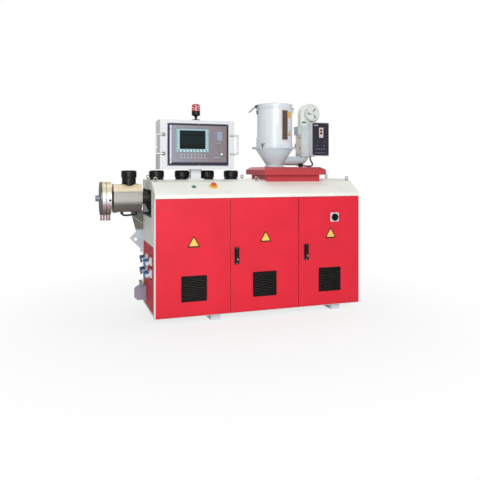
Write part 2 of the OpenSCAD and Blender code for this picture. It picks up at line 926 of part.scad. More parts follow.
// Stainless guard: an eight-sided shell with closed ends and a rim at each end
module barrel_guard() {
    color("lightgray") at_origin() on_axis() difference() {
        union() {
            octagon_x(-guard_out, -guard_gap, guard_af);
            octagon_x(-guard_out - guard_rim_l, -guard_out, guard_af + guard_lip);
            octagon_x(-guard_gap - guard_rim_l, -guard_gap, guard_af + guard_lip);
        }
        octagon_x(-guard_out - guard_rim_l + guard_t, -guard_gap - guard_t, guard_af - 2 * guard_t);
        rod_x(-guard_out - guard_rim_l - past, -guard_gap + past, barrel_r + seat);
    }
}

// A stack: a stem with a wider cap, its edge rounded
module stack(foot_z) {
    edge = 14;
    cap_z = stack_top - stack_cap_h;
    rotate_extrude() {
        translate([0, foot_z]) square([stem_r, cap_z - foot_z]);
        polygon([[0, cap_z - 10], [stem_r, cap_z - 10], [stack_r, cap_z], [0, cap_z]]);
        translate([0, cap_z]) square([stack_r - edge, stack_cap_h]);
        translate([0, cap_z]) square([stack_r, stack_cap_h - edge]);
        intersection() {
            translate([stack_r - edge, stack_top - edge]) circle(edge);
            translate([0, cap_z]) square([stack_r, stack_cap_h]);
        }
    }
}

// One stack on the guard, its foot cut to the guard's flats, and four on the hood
module cooling_stacks() {
    color([0.1, 0.1, 0.09]) at_origin() {
        difference() {
            translate([-stack_guard_out, axis_y, 0]) stack(axis_z + guard_af / 2 - 13);
            on_axis() octagon_x(-guard_out, -guard_gap, guard_af);
        }
        for (k = [0:3]) translate([stack_x + k * stack_pitch, axis_y, 0]) stack(hood_z);
    }
}

// Tapered bracket and lug plate at the back of the end wall
module guard_bracket() {
    bracket_d = 22;
    bracket_y = cab_d - bracket_d - 2;
    outline = [[0, 861], [-112, 861], [-99, 819], [-24, 535], [-23, 494], [0, 494]];
    lug = [[-119, 619], [-31, 707], [0, 676], [0, 562], [-31, 531]];
    color("gainsboro") at_origin() {
        along_y(bracket_y, bracket_y + bracket_d) polygon(outline);
        difference() {
            along_y(bracket_y - 6, bracket_y) polygon(lug);
            translate([-68, bracket_y, 609]) rod_y(-6 - past, past, 14);
        }
    }
}

// Black conduit from the guard's underside to the bracket
conduit_route = [[-217, 345, 877.6], [-217, 345, 868], [-215, 345, 856], [-204, 350, 846],
    [-175, 372, 843], [-125, 455, 840], [-92, 530, 837], [-72, 600, 837], [-70, 620, 837], [-70, 630.6, 837]];
module guard_conduit() {
    color("black") at_origin() swept_tube(smooth(conduit_route, 3), 8, 10);
}

// Sockets on the end panel
socket_y = [170, 375];
socket_z = [386, 483];
socket_tilt = 9;

// Puts a child at each socket, its +Z pointing out and a little down
module at_sockets() {
    for (y = socket_y, z = socket_z)
        translate([-skin, y, z]) rotate([0, -90 - socket_tilt, 0]) children();
}

module socket_bodies() {
    color("aliceblue") at_origin() {
        for (y = socket_y, z = socket_z) translate([-skin - 10, y - 32, z - 34]) cube([10, 64, 68]);
        difference() {
            at_sockets() cylinder(h = socket_out - 8, r = socket_r);
            translate([-skin - 10, 0, 0]) cube([200, cab_d, 1000]);
        }
    }
}

// A socket's lid: a round cover in front and a half collar over the body's upper side
module socket_lids() {
    lid_t = 8;
    collar_l = 34;
    lid_r = socket_r + 6;
    color("steelblue") at_origin() at_sockets() translate([0, 0, socket_out - lid_t]) {
        cylinder(h = lid_t, r = lid_r);
        difference() {
            translate([0, 0, -collar_l]) cylinder(h = collar_l, r = lid_r);
            translate([0, 0, -collar_l - past]) cylinder(h = collar_l + past, r = socket_r + seat);
            translate([-2 * lid_r, -2 * lid_r, -collar_l - past])
                cube([2 * lid_r + 8, 4 * lid_r, collar_l + 2 * past]);
        }
    }
}

// Terminal box on its wall plate at the foot of the end wall, with two cable glands
module terminal_box() {
    body = [[-13, 112], [-72, 112], [-86, 124], [-88, 196], [-60, 218], [-13, 222]];
    color("slategray") at_origin() {
        along_x(-14, -skin) translate([440, 100]) square([132, 132]);
        along_y(452, 556) polygon(body);
        for (y = [478, 526]) translate([-40, y, 212]) {
            cylinder(h = 24, r = 11);
            translate([0, 0, 22]) cylinder(h = 34, r1 = 8, r2 = 14);
        }
    }
}

// Hopper and its stand

// Feed block that carries the barrel under the hopper
module feed_block() {
    block = [feed_l, feed_l];
    low = barrel_r + 28;
    color("slategray") at_origin() difference() {
        translate([hopper_x - block[0] / 2, axis_y - block[1] / 2, axis_z - low])
            cube([block[0], block[1], hood_z - sheet - axis_z + low]);
        on_axis() rod_x(hopper_x - block[0], hopper_x + block[0], barrel_r + seat);
        throat(axis_z, hood_z + past);
    }
}

// Neck and sloped upper plate of the stand, bored for the pellets
module hopper_stand() {
    rim = 26;
    rim_h = 24;
    color("crimson") at_origin() difference() {
        union() {
            translate([stand_x + stand_over_x, stand_y + stand_over_y, facet_z - 10])
                cube([stand_l - 2 * stand_over_x, stand_d - 2 * stand_over_y, stand_z - facet_z + 11]);
            intersection() {
                along_x(stand_x, stand_x + stand_l)
                    polygon(trapezoid(stand_y, stand_d, stand_z, stand_plate_h, 2.4 * rim, rim_h));
                along_y(stand_y, stand_y + stand_d)
                    polygon(trapezoid(stand_x, stand_l, stand_z, stand_plate_h, rim, rim_h));
            }
        }
        under_hood();
        throat(hood_z - past, stand_top + past);
    }
}

// A rectangle whose upper corners are cut off
function trapezoid(x, w, z, h, run, rise) =
    [[x, z], [x + w, z], [x + w, z + h - rise], [x + w - run, z + h], [x + run, z + h], [x, z + h - rise]];

// Foot flange, cone and ring of the hopper, open from top to bottom
module hopper_cone() {
    t = hopper_t;
    outline = [
        [throat_r, stand_top], [cone_r + 24, stand_top], [cone_r + 24, cone_z], [cone_r, cone_z],
        [hopper_r + cone_flare, ring_z], [ring_r, ring_z], [ring_r, shell_z], [hopper_r - t, shell_z],
        [hopper_r - t - 1, ring_z], [cone_r - t, cone_z + 1], [throat_r, cone_z + 1]];
    color("lightgray") at_origin() on_hopper() rotate_extrude() polygon(outline);
}

// Straight wall of the hopper with its window hole, hinge ears and hinge pin
module hopper_shell() {
    ear_t = 6;
    ear_gap = 13;
    color("whitesmoke") at_origin() on_hopper() {
        difference() {
            union() {
                translate([0, 0, shell_z]) cylinder(h = hopper_h, r = hopper_r);
                for (s = [-1, 1]) translate([hopper_r - 8, s * (ear_gap + ear_t / 2) - ear_t / 2, lid_z - 36])
                    cube([hinge_x - hopper_x - hopper_r + 15, ear_t, 50]);
            }
            translate([0, 0, shell_z - past]) cylinder(h = hopper_h + 20 * past, r = hopper_r - hopper_t);
            rotate([0, 0, sight_turn]) translate([-sight_w / 2, -2 * hopper_r, sight_z])
                cube([sight_w, 2 * hopper_r, sight_h]);
            translate([0, 0, lid_z]) cylinder(h = lid_h, r = hopper_r + 9);
        }
        translate([hinge_x - hopper_x, 0, hinge_z]) rod_y(-ear_gap - ear_t, ear_gap + ear_t, pin_r);
    }
}

// Window of the hopper: a curved pane over the hole
module sight_glass() {
    border = 6;
    color("saddlebrown") at_origin() on_hopper() intersection() {
        difference() {
            translate([0, 0, sight_z - border]) cylinder(h = sight_h + 2 * border, r = hopper_r + 3);
            translate([0, 0, sight_z - 2 * border]) cylinder(h = sight_h + 4 * border, r = hopper_r + seat);
        }
        rotate([0, 0, sight_turn]) translate([-sight_w / 2 - border, -2 * hopper_r, sight_z - border])
            cube([sight_w + 2 * border, 2 * hopper_r, sight_h + 2 * border]);
    }
}

sight_z = shell_z + 63;

// Hollow lid with a rolled rim, a low dome, a knob and the lug of its hinge
module hopper_lid() {
    t = 3;
    lug_w = 22;
    out = hinge_x - hopper_x;
    dome = lid_top + knob_h - 14;
    outline = [
        [hopper_r + 2, lid_z + seat], [hopper_r + 5, lid_z + 4],
        [hopper_r + 5, lid_z + 12], [hopper_r, lid_z + 17],
        [hopper_r, lid_top - 12], [hopper_r + 4, lid_top - 8], [hopper_r + 4, lid_top - 3], [hopper_r, lid_top],
        [hopper_r - 10, lid_top], [40, dome], [15, dome], [15, lid_top + knob_h - 4], [11, lid_top + knob_h],
        [0, lid_top + knob_h], [0, dome - t], [40, dome - t], [hopper_r - 10, lid_top - t],
        [hopper_r - 6, lid_top - t - 3], [hopper_r - 6, lid_z + seat]];
    color("whitesmoke") at_origin() on_hopper() difference() {
        union() {
            rotate_extrude() polygon(outline);
            translate([hopper_r - 4, -lug_w / 2, lid_z + 1])
                cube([out - hopper_r + 4, lug_w, 2 * (hinge_z - lid_z) - 2]);
            translate([out, 0, hinge_z]) rod_y(-lug_w / 2, lug_w / 2, hinge_z - lid_z - 1);
        }
        translate([out, 0, hinge_z]) rod_y(-lug_w, lug_w, pin_r + pin_play);
        translate([0, 0, lid_z]) cylinder(h = lid_h - 16, r = hopper_r - 6);
    }
}

// Toggle lever on the free side of the lid
module lid_latch() {
    lever = [84, 14, 8];
    color("darkgray") at_origin() on_hopper() difference() {
        translate([-hopper_r - 3, 0, lid_z + 13]) {
            translate([-14, -14, -9]) cube([16, 28, 26]);
            translate([-10, -lever[1] / 2, 2]) rotate([0, -41, 0]) translate([-lever[0], 0, 0]) cube(lever);
        }
        cylinder(h = 3000, r = hopper_r + 5);
    }
}

// Dryer

// Hot air pipe: a level stretch from the cone, a collar and a tight bend up to the heater
module hot_air_pipe() {
    color("lightgray") at_origin() difference() {
        union() {
            translate([0, axis_y, pipe_z]) {
                rod_x(hopper_x + cone_r, elbow_x - elbow_bend, pipe_r);
                rod_x(elbow_x - elbow_bend - 22, elbow_x - elbow_bend, pipe_r + 3);
            }
            translate([elbow_x - elbow_bend, axis_y, pipe_z + elbow_bend]) rotate([90, 0, 0])
                rotate([0, 0, -90]) rotate_extrude(angle = 90) translate([elbow_bend, 0]) circle(pipe_r);
        }
        on_hopper() translate([0, 0, cone_z])
            cylinder(h = cone_h, r1 = cone_r + seat, r2 = hopper_r + cone_flare + seat);
        translate([hopper_x, 0, heater_z]) cube([500, cab_d, 300]);
    }
}

// Heater box with a louvred side block at its upper left
module heater_box() {
    block = [24, 96, 74];
    color("lightgray") at_origin() {
        translate([heater_x, heater_y, heater_z]) cube([heater_w, heater_d, heater_h]);
        translate([heater_x - block[0], axis_y - block[1] / 2, heater_top - block[2] - 4]) cube(block);
    }
}

// The scroll's outline: its radius grows steadily from the outlet's throat round to its outer wall
function scroll_line() =
    let (small = scroll_r - 9, growth = 12 / 270)
    [for (a = [-90:10:180]) (small + growth * (a + 90)) * [cos(a), sin(a)]];

// Blower: growing scroll, outlet down to the heater and round motor cap with three swept slots
module blower() {
    outlet_x = -scroll_r - 3;
    outlet_w = 88;
    slot_w = 7;
    flange_t = 6;
    color("whitesmoke") at_origin() difference() {
        translate([blower_x, axis_y, blower_z]) {
            along_y(-scroll_w / 2, scroll_w / 2)
                polygon(concat(scroll_line(), [[outlet_x, -scroll_up], [outlet_x + outlet_w, -scroll_up]]));
            translate([outlet_x - 1, -scroll_w / 2 - 8, -scroll_up])
                cube([outlet_w + 2, scroll_w + 16, flange_t]);
            translate([0, -scroll_w / 2 - cap_l, 0]) rod_y(0, cap_l, cap_r);
        }
        translate([blower_x, axis_y - scroll_w / 2 - cap_l, blower_z]) for (a = [10, 130, 250])
            rotate([90, 0, 0]) rotate([0, 0, a]) translate([0, 0, -8]) linear_extrude(20) intersection() {
                difference() {
                    translate([cap_r * 0.5, 0]) circle(cap_r * 0.5);
                    translate([cap_r * 0.5, 0]) circle(cap_r * 0.5 - slot_w);
                }
                translate([cap_r * 0.3, 0]) square([cap_r * 0.55, cap_r]);
            }
    }
}

module dryer_box() {
    color("white") at_origin()
        translate([heater_x + dryer_in, heater_y - dryer_d, heater_z + 4]) cube([dryer_w, dryer_d, dryer_h]);
}

// Dark face plate of the dryer's control box with a raised controller and two buttons
module dryer_face() {
    face = [162, 3, 293];
    color("darkslategray") at_origin() translate([
        heater_x + dryer_in + (dryer_w - face[0]) / 2, heater_y - dryer_d - face[1],
        heater_z + 4 + (dryer_h - face[2]) / 2]) {
        cube(face);
        translate([62, -6, 160]) cube([42, 6, 90]);
        for (x = [46, 115]) translate([x, 0, 124]) rod_y(-8, 0, 11);
    }
}

// Cable from the heater box down to the stand, along it and into a gland that stands on the plate
cable_route = [[1466, 290, 1341.5], [1466, 290, 1326], [1471, 288, 1308], [1488, 282, 1280], [1488, 270, 1260],
    [1462, 254, 1254], [1420, 240, 1254], [1380, 232, 1256], [1352, 228, 1263]];
module dryer_cable() {
    color("black") at_origin() {
        swept_tube(smooth(cable_route, 4), 7, 10);
        translate([1326, 206, stand_top]) cube([30, 44, 34]);
    }
}

feet();
floor_pan();
front_frame();
back_wall();
end_wall_left();
end_wall_right();
end_panel();
front_cover();
vent_left();
hood();
hood_top();
lifting_eyes();
post();
door_middle();
handle_middle();
vent_middle();
door_right();
handle_right();
vent_right();
switch_plate();
switch_knob();
start_bezel();
start_button();
stop_plate();
stop_button();
control_box();
panel_frame();
operator_panel();
box_handles();
beacon_base();
beacon_lens();
barrel();
screw();
clamp_front();
clamp_rear();
clamp_bolts();
barrel_guard();
cooling_stacks();
guard_bracket();
mouth_trim();
guard_conduit();
socket_bodies();
socket_lids();
terminal_box();
feed_block();
hopper_stand();
hopper_cone();
hopper_shell();
sight_glass();
hopper_lid();
lid_latch();
hot_air_pipe();
heater_box();
blower();
dryer_box();
dryer_face();
dryer_cable();
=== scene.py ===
"""Looks of a single-screw plastic extruder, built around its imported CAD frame.

Layout sizes are in millimetres from the front left corner of the cabinet, X along the machine,
Y to the back and Z up from the floor. at() and pose() turn them into the frame's metres.
"""
from math import cos, radians, sin, sqrt, tan, tau

import bmesh
import bpy
from mathutils import Matrix, Vector


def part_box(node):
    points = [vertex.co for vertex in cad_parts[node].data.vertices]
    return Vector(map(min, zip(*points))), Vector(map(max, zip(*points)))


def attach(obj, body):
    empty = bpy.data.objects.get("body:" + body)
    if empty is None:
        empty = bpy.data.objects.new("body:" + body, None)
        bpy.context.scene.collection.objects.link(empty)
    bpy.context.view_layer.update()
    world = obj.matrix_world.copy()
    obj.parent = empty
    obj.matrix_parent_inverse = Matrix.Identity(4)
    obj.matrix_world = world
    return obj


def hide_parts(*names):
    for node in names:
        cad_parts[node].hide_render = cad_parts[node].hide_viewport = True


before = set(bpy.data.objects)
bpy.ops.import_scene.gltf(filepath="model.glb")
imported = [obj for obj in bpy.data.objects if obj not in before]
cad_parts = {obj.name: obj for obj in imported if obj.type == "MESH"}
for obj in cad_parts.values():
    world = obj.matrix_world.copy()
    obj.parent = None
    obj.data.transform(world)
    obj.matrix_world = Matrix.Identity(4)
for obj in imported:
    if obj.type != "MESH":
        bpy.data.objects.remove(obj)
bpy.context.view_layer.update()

MM = 0.001
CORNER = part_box("floor_pan")[0]
scene = bpy.context.scene
scene.view_settings.view_transform = "Standard"


# Places

def at(x, y, z):
    """A point of the layout, in the frame's metres."""
    return Vector((CORNER.x + x * MM, CORNER.y + y * MM, z * MM))


def turn(x, y, z):
    """A rotation whose columns are the places of the local axes."""
    return Matrix((x, y, z)).transposed().to_4x4()


def pose(x, y, z, facing):
    """Places a local shape, drawn in millimetres, at a point and with a facing."""
    return Matrix.Translation(at(x, y, z)) @ facing @ Matrix.Scale(MM, 4)


FLAT = Matrix.Identity(4)
FRONT = turn((1, 0, 0), (0, 0, 1), (0, -1, 0))
BACK = turn((-1, 0, 0), (0, 0, 1), (0, 1, 0))
LEFT = turn((0, -1, 0), (0, 0, 1), (-1, 0, 0))
LAYOUT = pose(0, 0, 0, FLAT)


def spoke(radius, degrees):
    """A point at a radius and an angle about the local origin."""
    a = radians(degrees)
    return radius * cos(a), radius * sin(a)


def corners(x, y, dx, dy):
    """The four corners of a rectangle about a point."""
    return [(x + sx * dx, y + sy * dy) for sx in (-1, 1) for sy in (-1, 1)]


def outward(degrees):
    """A facing whose local Z points away from an upright axis."""
    x, y = spoke(1, degrees)
    return turn((-y, x, 0), (0, 0, 1), (x, y, 0))


def around(x, y, radius, degrees, z):
    """A place and facing on an upright round wall."""
    dx, dy = spoke(radius, degrees)
    return pose(x + dx, y + dy, z, outward(degrees))


# Camera and light

CAMERA_AT = (-688, -4133, 1216)
CAMERA_YAW = 18.49
CAMERA_LENS = 40.05
CAMERA_SHIFT = -0.145
WORLD_TINT = (0.93, 0.96, 1, 1)
WORLD_LIGHT = 0.36
GLOSS_WORLD = 0.35
AIM = (0, 0, 0.9)
# Name, place and target in the frame's metres, size in metres, watts
LAMPS = (
    ("key", (-0.7, -5.7, 3.3), AIM, (3.6, 2.4), 176),
    ("front_fill", (-2.2, -5.2, 1), AIM, (2.5, 2), 30),
    ("top", (0.2, 0.4, 5), AIM, (3.5, 2), 40),
    ("back", (0.5, 5, 3), AIM, (4, 2.5), 50),
    ("strip", (-2.19, -6.45, 1.5), (0.45, 0.04, 1.4), (0.25, 3), 28),
)


def add_camera():
    """The camera of the photograph, solved from the cabinet's edges."""
    data = bpy.data.cameras.new("camera")
    data.sensor_width = 36
    data.lens = CAMERA_LENS
    data.shift_y = CAMERA_SHIFT
    data.clip_end = 200
    camera = bpy.data.objects.new("camera", data)
    camera.location = at(*CAMERA_AT)
    camera.rotation_euler = (radians(90), 0, -radians(CAMERA_YAW))
    scene.collection.objects.link(camera)
    scene.camera = camera


def add_lamp(name, place, target, size, power):
    """A soft rectangular lamp that faces its target."""
    data = bpy.data.lights.new(name, "AREA")
    data.shape = "RECTANGLE"
    data.size, data.size_y = size
    data.energy = power
    lamp = bpy.data.objects.new(name, data)
    lamp.location = place
    lamp.rotation_euler = (Vector(target) - Vector(place)).to_track_quat("-Z", "Y").to_euler()
    scene.collection.objects.link(lamp)


def maths(tree, operation, a, b):
    """The result of a sum on two values, each a socket or a number."""
    node = tree.nodes.new("ShaderNodeMath")
    node.operation = operation
    for socket, value in ((node.inputs[0], a), (node.inputs[1], b)):
        if isinstance(value, (int, float)):
            socket.default_value = value
        else:
            tree.links.new(value, socket)
    return node.outputs[0]


def add_world():
    """A white backdrop that lights the machine less than it shows, and shows dimmer in gloss."""
    world = bpy.data.worlds.new("world")
    scene.world = world
    world.use_nodes = True
    tree = world.node_tree
    add, link = tree.nodes.new, tree.links.new
    tree.nodes.clear()
    light = add("ShaderNodeBackground")
    light.inputs["Color"].default_value = WORLD_TINT
    light.inputs["Strength"].default_value = WORLD_LIGHT
    seen = add("ShaderNodeBackground")
    seen.inputs["Color"].default_value = (1, 1, 1, 1)
    seen.inputs["Strength"].default_value = 1
    rays = add("ShaderNodeLightPath")
    mirrored = maths(tree, "MULTIPLY", rays.outputs["Is Glossy Ray"], GLOSS_WORLD)
    direct = maths(tree, "MAXIMUM", rays.outputs["Is Camera Ray"], rays.outputs["Is Transmission Ray"])
    mix = add("ShaderNodeMixShader")
    out = add("ShaderNodeOutputWorld")
    link(maths(tree, "MAXIMUM", direct, mirrored), mix.inputs["Fac"])
    link(light.outputs[0], mix.inputs[1])
    link(seen.outputs[0], mix.inputs[2])
    link(mix.outputs[0], out.inputs["Surface"])


def add_lights():
    """The backdrop and the studio lamps."""
    add_world()
    for lamp in LAMPS:
        add_lamp(*lamp)


FLOOR_HALF = 30
FLOOR_GREY = (0.88, 0.88, 0.88, 1)
# The floor turns white between these distances, and is already this white at the first
FLOOR_CLEAR = (0.6, 2.6)
FLOOR_WHITE = 0.75


def add_floor():
    """A white floor that shows the machine's shadow near it and fades into the backdrop."""
    mesh = bpy.data.meshes.new("floor")
    half = FLOOR_HALF
    mesh.from_pydata([(-half, -half, 0), (half, -half, 0), (half, half, 0), (-half, half, 0)], [],
                     [(0, 1, 2, 3)])
    floor = bpy.data.objects.new("floor", mesh)
    scene.collection.objects.link(floor)
    material = bpy.data.materials.new("floor")
    material.use_nodes = True
    tree = material.node_tree
    add, link = tree.nodes.new, tree.links.new
    tree.nodes.clear()
    matte = add("ShaderNodeBsdfDiffuse")
    matte.inputs["Color"].default_value = FLOOR_GREY
    white = add("ShaderNodeEmission")
    white.inputs["Strength"].default_value = 1
    place = add("ShaderNodeTexCoord")
    distance = add("ShaderNodeVectorMath")
    distance.operation = "LENGTH"
    fade = add("ShaderNodeMapRange")
    fade.interpolation_type = "SMOOTHSTEP"
    fade.inputs["From Min"].default_value, fade.inputs["From Max"].default_value = FLOOR_CLEAR
    fade.inputs["To Min"].default_value = FLOOR_WHITE
    rays = add("ShaderNodeLightPath")
    mix = add("ShaderNodeMixShader")
    out = add("ShaderNodeOutputMaterial")
    link(place.outputs["Object"], distance.inputs[0])
    link(distance.outputs["Value"], fade.inputs["Value"])
    seen = maths(tree, "MULTIPLY", fade.outputs[0], rays.outputs["Is Camera Ray"])
    link(seen, mix.inputs["Fac"])
    link(matte.outputs[0], mix.inputs[1])
    link(white.outputs[0], mix.inputs[2])
    link(mix.outputs[0], out.inputs["Surface"])
    mesh.materials.append(material)


# Materials

EDGE_SOFTNESS = 1.2 * MM
BUMP_DEPTH = 0.6 * MM
GRIME_DARK, GRIME_LIFT = 0.55, 0.02
GRIME_SCALE, GRIME_DETAIL, GRIME_ROUGH = 22, 6, 0.65
BRUSH_HAZE = "8d8880"


def rgb(code):
    """A colour written as six hexadecimal digits, made linear."""
    parts = [int(code[i:i + 2], 16) / 255 for i in (0, 2, 4)]
    linear = [p / 12.92 if p <= 0.04045 else ((p + 0.055) / 1.055) ** 2.4 for p in parts]
    return (*linear, 1)


def noise(tree, vector, scale, detail=3, rough=0.5):
    """Cloud noise at a scale per metre."""
    node = tree.nodes.new("ShaderNodeTexNoise")
    node.inputs["Scale"].default_value = scale
    node.inputs["Detail"].default_value = detail
    node.inputs["Roughness"].default_value = rough
    tree.links.new(vector, node.inputs["Vector"])
    return node.outputs["Fac"]


def spread(tree, value, low, high, from_low=0.3, from_high=0.7):
    """A value stretched from one range to another."""
    node = tree.nodes.new("ShaderNodeMapRange")
    node.inputs["From Min"].default_value = from_low
    node.inputs["From Max"].default_value = from_high
    node.inputs["To Min"].default_value = low
    node.inputs["To Max"].default_value = high
    tree.links.new(value, node.inputs["Value"])
    return node.outputs[0]


def blend_colour(tree, fac, a, b):
    """A mix of two colours, each a socket or a tuple."""
    node = tree.nodes.new("ShaderNodeMix")
    node.data_type = "RGBA"
    tree.links.new(fac, node.inputs["Factor"])
    for socket, value in ((node.inputs["A"], a), (node.inputs["B"], b)):
        if isinstance(value, tuple):
            socket.default_value = value
        else:
            tree.links.new(value, socket)
    return node.outputs["Result"]


def surface(name, code, rough, metal=0, tone=0.05, tone_scale=5, grain=(900, 0.05), stretch=(1, 1, 1),
            dirt=0, rough_spread=0.06, coat=0, transmission=0, glow=0, shine=0.5):
    """A procedural finish: clouded colour, settled dirt, grain as (scale, strength) and softened edges."""
    material = bpy.data.materials.new(name)
    material.use_nodes = True
    tree = material.node_tree
    add, link = tree.nodes.new, tree.links.new
    shader = tree.nodes["Principled BSDF"]
    place = add("ShaderNodeTexCoord").outputs["Object"]
    mapping = add("ShaderNodeMapping")
    mapping.inputs["Scale"].default_value = stretch
    link(place, mapping.inputs["Vector"])
    base = rgb(code)
    light = tuple(min(1, c * (1 + tone)) for c in base[:3]) + (1,)
    dark = tuple(c * (1 - tone) for c in base[:3]) + (1,)
    colour = blend_colour(tree, spread(tree, noise(tree, place, tone_scale), 0, 1), dark, light)
    if dirt:
        grime = tuple(c * GRIME_DARK + GRIME_LIFT for c in base[:3]) + (1,)
        patches = noise(tree, place, GRIME_SCALE, GRIME_DETAIL, GRIME_ROUGH)
        settled = spread(tree, patches, 0, dirt, 0.52, 0.75)
        colour = blend_colour(tree, settled, colour, grime)
    fine = noise(tree, mapping.outputs[0], grain[0], 2)
    link(colour, shader.inputs["Base Color"])
    link(spread(tree, fine, rough - rough_spread, rough + rough_spread), shader.inputs["Roughness"])
    shader.inputs["Metallic"].default_value = metal
    shader.inputs["Specular IOR Level"].default_value = shine
    shader.inputs["Coat Weight"].default_value = coat
    shader.inputs["Transmission Weight"].default_value = transmission
    if glow:
        link(colour, shader.inputs["Emission Color"])
        shader.inputs["Emission Strength"].default_value = glow
    bump = add("ShaderNodeBump")
    bump.inputs["Strength"].default_value = grain[1]
    bump.inputs["Distance"].default_value = BUMP_DEPTH
    soft = add("ShaderNodeBevel")
    soft.samples = 4
    soft.inputs["Radius"].default_value = EDGE_SOFTNESS
    link(fine, bump.inputs["Height"])
    link(soft.outputs[0], bump.inputs["Normal"])
    link(bump.outputs[0], shader.inputs["Normal"])
    return material


def banded(name, axis, stops, rough, metal, grain=(300, 0.15), stretch=(8, 0.4, 0.4)):
    """Brushed metal whose colour runs through (place in metres, colour) stops along one axis of the part: the
    stops are painted light, shade and reflections along that axis.
    """
    material = surface(name, "888888", rough, metal=metal, tone=0, grain=grain, stretch=stretch)
    tree = material.node_tree
    link = tree.links.new
    shader = tree.nodes["Principled BSDF"]
    split = tree.nodes.new("ShaderNodeSeparateXYZ")
    place = tree.nodes.new("ShaderNodeTexCoord").outputs["Object"]
    link(place, split.inputs[0])
    low, high = stops[0][0], stops[-1][0]
    reach = spread(tree, split.outputs[axis], 0, 1, low, high)
    ramp = tree.nodes.new("ShaderNodeValToRGB")
    while len(ramp.color_ramp.elements) < len(stops):
        ramp.color_ramp.elements.new(0.5)
    for element, (where, code) in zip(ramp.color_ramp.elements, stops):
        element.position = (where - low) / (high - low)
        element.color = rgb(code)
    link(reach, ramp.inputs[0])
    clouds = spread(tree, noise(tree, place, 12), 0, 0.25)
    link(blend_colour(tree, clouds, ramp.outputs[0], rgb(BRUSH_HAZE)), shader.inputs["Base Color"])
    return material


RED = surface("red_paint", "e4263a", 0.45, dirt=0.08, shine=0.3)
# Painted shade: a darker copy of the cabinet's red on the hopper stand, darkened to cut the red light it
# throws onto the pipe.
STAND_RED_DIMMED = surface("stand_red_dimmed", "bf3a42", 0.45, dirt=0.1, shine=0.4)
# Painted shade: a darker copy of the cabinet's red for the end panel, which stands in shade.
END_RED_SHADED = surface("end_red_shaded", "cc2731", 0.5, dirt=0.12, shine=0.15)
CREAM = surface("cream_paint", "f4f4ec", 0.42, tone=0.03, dirt=0.1)
FOOT = surface("foot_paint", "dce4ec", 0.45, dirt=0.25)
WHITE_PAINT = surface("white_paint", "dcdfe1", 0.35, tone=0.02, dirt=0.08)
HOPPER_PAINT = surface("hopper_paint", "e0e5e8", 0.26, tone=0.03, dirt=0.05, coat=0.4)
DRYER_PAINT = surface("dryer_paint", "c4cdce", 0.42, grain=(420, 0.25), dirt=0.14)
BLACK = surface("black_plastic", "11110f", 0.36, tone=0.1, grain=(700, 0.1), shine=0.3)
BLACK_MATTE = surface("black_matte", "0c0c0b", 0.6, tone=0.12, grain=(700, 0.12), shine=0.2)
RUBBER = surface("rubber", "191817", 0.62, tone=0.15, grain=(600, 0.2))
WHITE_PLASTIC = surface("white_plastic", "dde3e8", 0.32, tone=0.03)
GREEN = surface("green_plastic", "2f9868", 0.28, tone=0.06, coat=0.3)
YELLOW = surface("yellow_plastic", "f4cf63", 0.38)
ORANGE = surface("orange_plastic", "db5c2c", 0.28, tone=0.07, coat=0.3)
SLATE = surface("slate", "2d2b39", 0.45, tone=0.08, grain=(500, 0.12), shine=0.25)
CYAN = surface("cyan_keys", "9cc5cb", 0.35, tone=0.04)
SCREEN = surface("screen", "061d1c", 0.5, tone=0.12, tone_scale=14, grain=(900, 0), shine=0.15)
MARK = surface("plain_marks", "d9dde3", 0.4, tone=0.03)
LENS = surface("red_lens", "b3211f", 0.16, tone=0.1, coat=0.6, grain=(60, 0.3), transmission=0.15)
BLUE = surface("blue_plastic", "17527f", 0.3, tone=0.07, coat=0.2)
GREY_PLASTIC = surface("grey_plastic", "a19db2", 0.42, tone=0.06, dirt=0.2)
STEEL = surface("steel", "cfcbc4", 0.26, metal=1, tone=0.08, grain=(260, 0.18), stretch=(8, 0.4, 0.4),
                rough_spread=0.09)
ZINC = surface("zinc", "b4ada2", 0.36, metal=1, tone=0.14, tone_scale=60)
DARK_STEEL = surface("dark_steel", "3b3936", 0.5, metal=0.7, tone=0.25, tone_scale=14, grain=(240, 0.3),
                     dirt=0.3)
CASTING = surface("casting", "6d7074", 0.6, metal=0.2, tone=0.12, grain=(260, 0.5), dirt=0.3)
BRACKET = surface("bracket_paint", "c6d0d6", 0.42, tone=0.06, dirt=0.2)
PELLETS = surface("pellets_behind_glass", "5a4438", 0.35, tone=0.35, tone_scale=120, grain=(160, 0.8))
PLATE_EDGE = surface("plate_edge", "5a3210", 0.45, tone=0.1, shine=0.2)
PANEL_LINE = surface("panel_line", "85839a", 0.45)
PANEL_BLUE = surface("panel_blue", "8b9bb3", 0.35, tone=0.08, tone_scale=30)
PALE_MARK = surface("pale_mark", "b4b6c6", 0.45)
KEY_GREY = surface("key_grey", "7f8ea0", 0.42, tone=0.06)
KEY_TEAL = surface("key_teal", "5f98a0", 0.42, tone=0.06, shine=0.3)
SCREEN_DARK = surface("screen_dark", "08100c", 0.5, tone=0.1, shine=0.15)
LAMP_WHITE = surface("lamp_white", "f6f4d8", 0.25, tone=0.06, glow=0.3)
SEAM = surface("seam", "c3c8ce", 0.5, tone=0.04)
# Painted highlight: a pale glowing finish for the lit front edge of the end wall.
EDGE_PAINTED_HIGHLIGHT = surface("edge_painted_highlight", "f6e9ea", 0.45, tone=0.03, dirt=0.06, glow=0.3)
CLAMP_FACE = surface("clamp_face", "63645f", 0.42, metal=0.8, tone=0.16, tone_scale=12, grain=(300, 0.2))
TIP = surface("screw_tip", "9aa0a8", 0.5, metal=0.6, tone=0.12, tone_scale=30)
BOLT_PINK = surface("bolt_pink", "b79fa1", 0.34, metal=0.8, tone=0.14, tone_scale=30)
CLASP = surface("clasp", "5b564e", 0.4, metal=0.7, tone=0.14, tone_scale=40)
BOLT_ZINC = surface("bolt_zinc", "77736b", 0.38, metal=0.8, tone=0.16, tone_scale=60)
STACK = surface("stack_black", "0d0c08", 0.32, tone=0.12, grain=(500, 0.08), shine=0.35)
